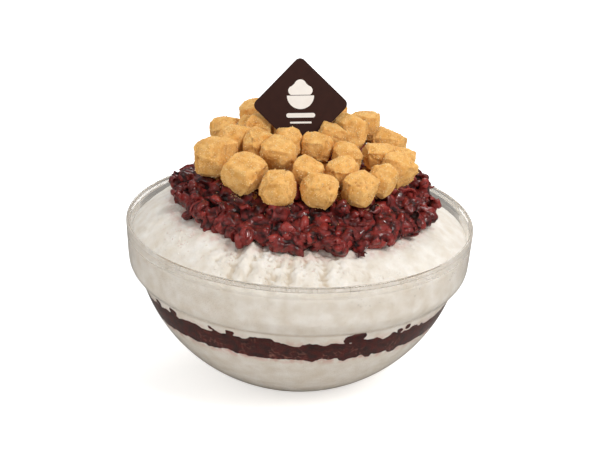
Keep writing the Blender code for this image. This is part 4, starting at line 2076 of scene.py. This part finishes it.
@dataclass
class Studio:
    """Plain pale floor, soft light and the camera."""

    bounce: Colour = (0.86, 0.84, 0.82)
    behind: Colour = (0.56, 0.54, 0.52)
    mirrored: Colour = (0.22, 0.21, 0.20)
    glow: float = 0.45
    floor_half: float = 6.0
    diffuse_less: float = 0.5
    mirror_less: float = 0.75
    behind_less: float = 0.6
    elevation: float = math.radians(22)
    distance: float = 0.9
    lens: float = 110.0
    roll: float = math.radians(2.3)
    target: Vector = field(default_factory=lambda: Vector((0, 0, 80.3)) * MM)
    aim: Vector = field(default_factory=lambda: Vector((0.15, 0, 75.9)) * MM)

    def make_floor(self) -> bpy.types.Object:
        """Build the large pale floor.

        Returns:
            The floor.
        """
        shader = Shader("floor", roughness=0.9, ior=1.1)
        pale, paler = (0.93, 0.93, 0.93), (0.95, 0.95, 0.95)
        tone = shader.place(mottle_group(), size=0.4, edge=0.4, first=pale, second=paler)
        path = shader.add("ShaderNodeLightPath")
        lit = shader.blend(path.outputs["Is Diffuse Ray"], tone.outputs["Color"], self.bounce)
        through = shader.blend(path.outputs["Is Transmission Ray"], lit, self.behind)
        shader.colour(shader.blend(path.outputs["Is Glossy Ray"], through, self.mirrored))
        shown = shader.blend(path.outputs["Is Camera Ray"], (0.0, 0.0, 0.0), (self.glow,) * 3)
        shader.link(shown, shader.bsdf.inputs["Emission Color"])
        shader.bsdf.inputs["Emission Strength"].default_value = 1.0
        half = self.floor_half
        points = [(-half, -half, 0), (half, -half, 0), (half, half, 0), (-half, half, 0)]
        floor = mesh_object("floor", points, [(0, 1, 2, 3)], shader.material)
        return floor

    def make_lamp(self, name: str, place: tuple, size: float, power: float, colour: Colour) -> None:
        """Place a soft square lamp that faces the dessert.

        Args:
            name: the lamp's name.
            place: where it stands.
            size: its side.
            power: its power in watts.
            colour: its light.
        """
        data = bpy.data.lights.new(name, "AREA")
        data.shape = "SQUARE"
        data.size = size
        data.energy = power
        data.color = colour
        lamp = bpy.data.objects.new(name, data)
        lamp.location = place
        lamp.rotation_euler = (self.target - Vector(place)).to_track_quat("-Z", "Y").to_euler()
        bpy.context.scene.collection.objects.link(lamp)

    def make_world(self) -> None:
        """Even white surround."""
        world = bpy.data.worlds.new("surround")
        world.use_nodes = True
        graph = Graph(world.node_tree)
        ground = world.node_tree.nodes["Background"]
        ground.inputs["Color"].default_value = (1, 1, 1, 1)
        path = graph.add("ShaderNodeLightPath")
        less = graph.math("MULTIPLY", path.outputs["Is Diffuse Ray"], self.diffuse_less)
        mirrored = graph.math("MULTIPLY", path.outputs["Is Glossy Ray"], self.mirror_less)
        behind = graph.math("MULTIPLY", path.outputs["Is Transmission Ray"], self.behind_less)
        dark = graph.math("MAXIMUM", mirrored, behind)
        strength = graph.math("SUBTRACT", graph.math("SUBTRACT", 1.0, less), dark)
        graph.link(strength, ground.inputs["Strength"])
        bpy.context.scene.world = world

    def make_camera(self) -> None:
        """Camera at the front, a little above."""
        forward = Vector((0, math.cos(self.elevation), -math.sin(self.elevation)))
        data = bpy.data.cameras.new("camera")
        data.lens = self.lens
        data.sensor_width = 36
        camera = bpy.data.objects.new("camera", data)
        camera.location = self.target - forward * self.distance
        look = (self.aim - camera.location).to_track_quat("-Z", "Y").to_matrix().to_4x4()
        turned = look @ Matrix.Rotation(self.roll, 4, "Z")
        camera.matrix_world = Matrix.Translation(camera.location) @ turned
        bpy.context.scene.collection.objects.link(camera)
        bpy.context.scene.camera = camera

    def make(self) -> None:
        """Set up everything round the dessert."""
        self.make_floor()
        self.make_world()
        self.make_lamp("key", (0.55, -0.45, 0.8), 0.45, 4.2, (1.0, 0.98, 0.95))
        self.make_lamp("glint", (0.3, -0.5, 0.9), 0.05, 2.0, (1.0, 0.98, 0.96))
        self.make_lamp("back", (0.1, 0.8, 0.7), 0.5, 3.4, (1.0, 1.0, 1.0))
        self.make_lamp("fill", (-0.8, -0.5, 0.5), 0.7, 2.2, (1.0, 0.98, 0.95))
        self.make_camera()
        bpy.context.scene.view_settings.view_transform = "Standard"


# ---------------------------------------------------------------- build


PASTE = BeanFinish("bean_paste", rgb(44, 10, 10), rgb(136, 38, 34), smooth=0.4, coarse=0.6)
WHOLE = BeanFinish("bean_whole", rgb(72, 19, 18), rgb(152, 44, 39), smooth=0.35, by_piece=True)
SKIN = BeanFinish("bean_skin", rgb(78, 22, 20), rgb(160, 54, 48), smooth=0.35, by_piece=True)
LAYER = BeanFinish(
    "bean_layer", rgb(48, 7, 4), rgb(84, 22, 16), wet=0.0, smooth=0.6, coarse=0.8, skins=rgb(140, 84, 72)
)
POWDER = PowderFinish()
CLOTS = PowderFinish("powder_clots", rgb(255, 226, 176), rgb(248, 208, 146), grain_size=0.35 * MM)
DAMP = PowderFinish("damp_powder", rgb(232, 192, 150), rgb(204, 158, 116), grain_size=0.35 * MM)
# darker powder for the heap's core: painted shade for the gaps between the cakes
SHADE = PowderFinish("heap_powder", rgb(196, 136, 70), rgb(158, 96, 40))
PLATE = TagFinish("tag_brown", rgb(46, 20, 13), rgb(54, 26, 18), 0.5)
INK = TagFinish("tag_ink", rgb(232, 226, 220), rgb(240, 236, 230), 0.6)


def build_filling(bowl: Bowl, mound: Mound) -> bpy.types.Object:
    """Build the ice, the bean layer and the topping.

    Args:
        bowl: the bowl.
        mound: how the dessert is heaped.

    Returns:
        The paste.
    """
    ice = ShavedIce(bowl, mound)
    publish(ice.make_lower(), Slot.ICE, "ice_lower")
    crown = publish(ice.make_upper(), Slot.ICE, "ice_upper")
    publish(ice.make_flakes(crown), Slot.ICE)
    publish(BeanLayer(bowl).make(LAYER), Slot.BEAN, "bean_layer")
    topping = BeanTopping(mound)
    paste = publish(topping.make_paste(PASTE), Slot.BEAN, "bean_topping")
    publish(topping.make_beans(paste, WHOLE), Slot.BEAN)
    publish(topping.make_skins(paste, SKIN), Slot.BEAN)
    return paste


def build_cakes(paste: bpy.types.Object, mound: Mound, tag: Tag) -> None:
    """Build the rice cakes and their loose powder.

    Args:
        paste: the paste under them.
        mound: how the dessert is heaped.
        tag: the tag they keep clear of.
    """
    rice = RiceCakes(mound, tag)
    cakes = rice.make_cakes(POWDER.material())
    publish(rice.make_core(SHADE.material()), Slot.POWDER)
    publish(rice.make_crumbs(cakes, CLOTS.material()), Slot.POWDER)
    publish(rice.make_fallen(paste, DAMP.material()), Slot.POWDER)


def main() -> None:
    """Build every piece in order, then the studio."""
    logging.basicConfig(level=logging.INFO, format="%(name)s: %(message)s")
    bowl = Bowl()
    mound = Mound()
    publish(bowl.make(GlassFinish()), Slot.GLASS, "bowl")
    publish(bowl.make_drops(WaterFinish()), Slot.GLASS)
    paste = build_filling(bowl, mound)
    tag = Tag()
    build_cakes(paste, mound, tag)
    publish(tag.make_plate(PLATE), Slot.TAG, "tag")
    publish(tag.make_print(INK), Slot.TAG)
    Studio().make()


if __name__ == "__main__":
    main()
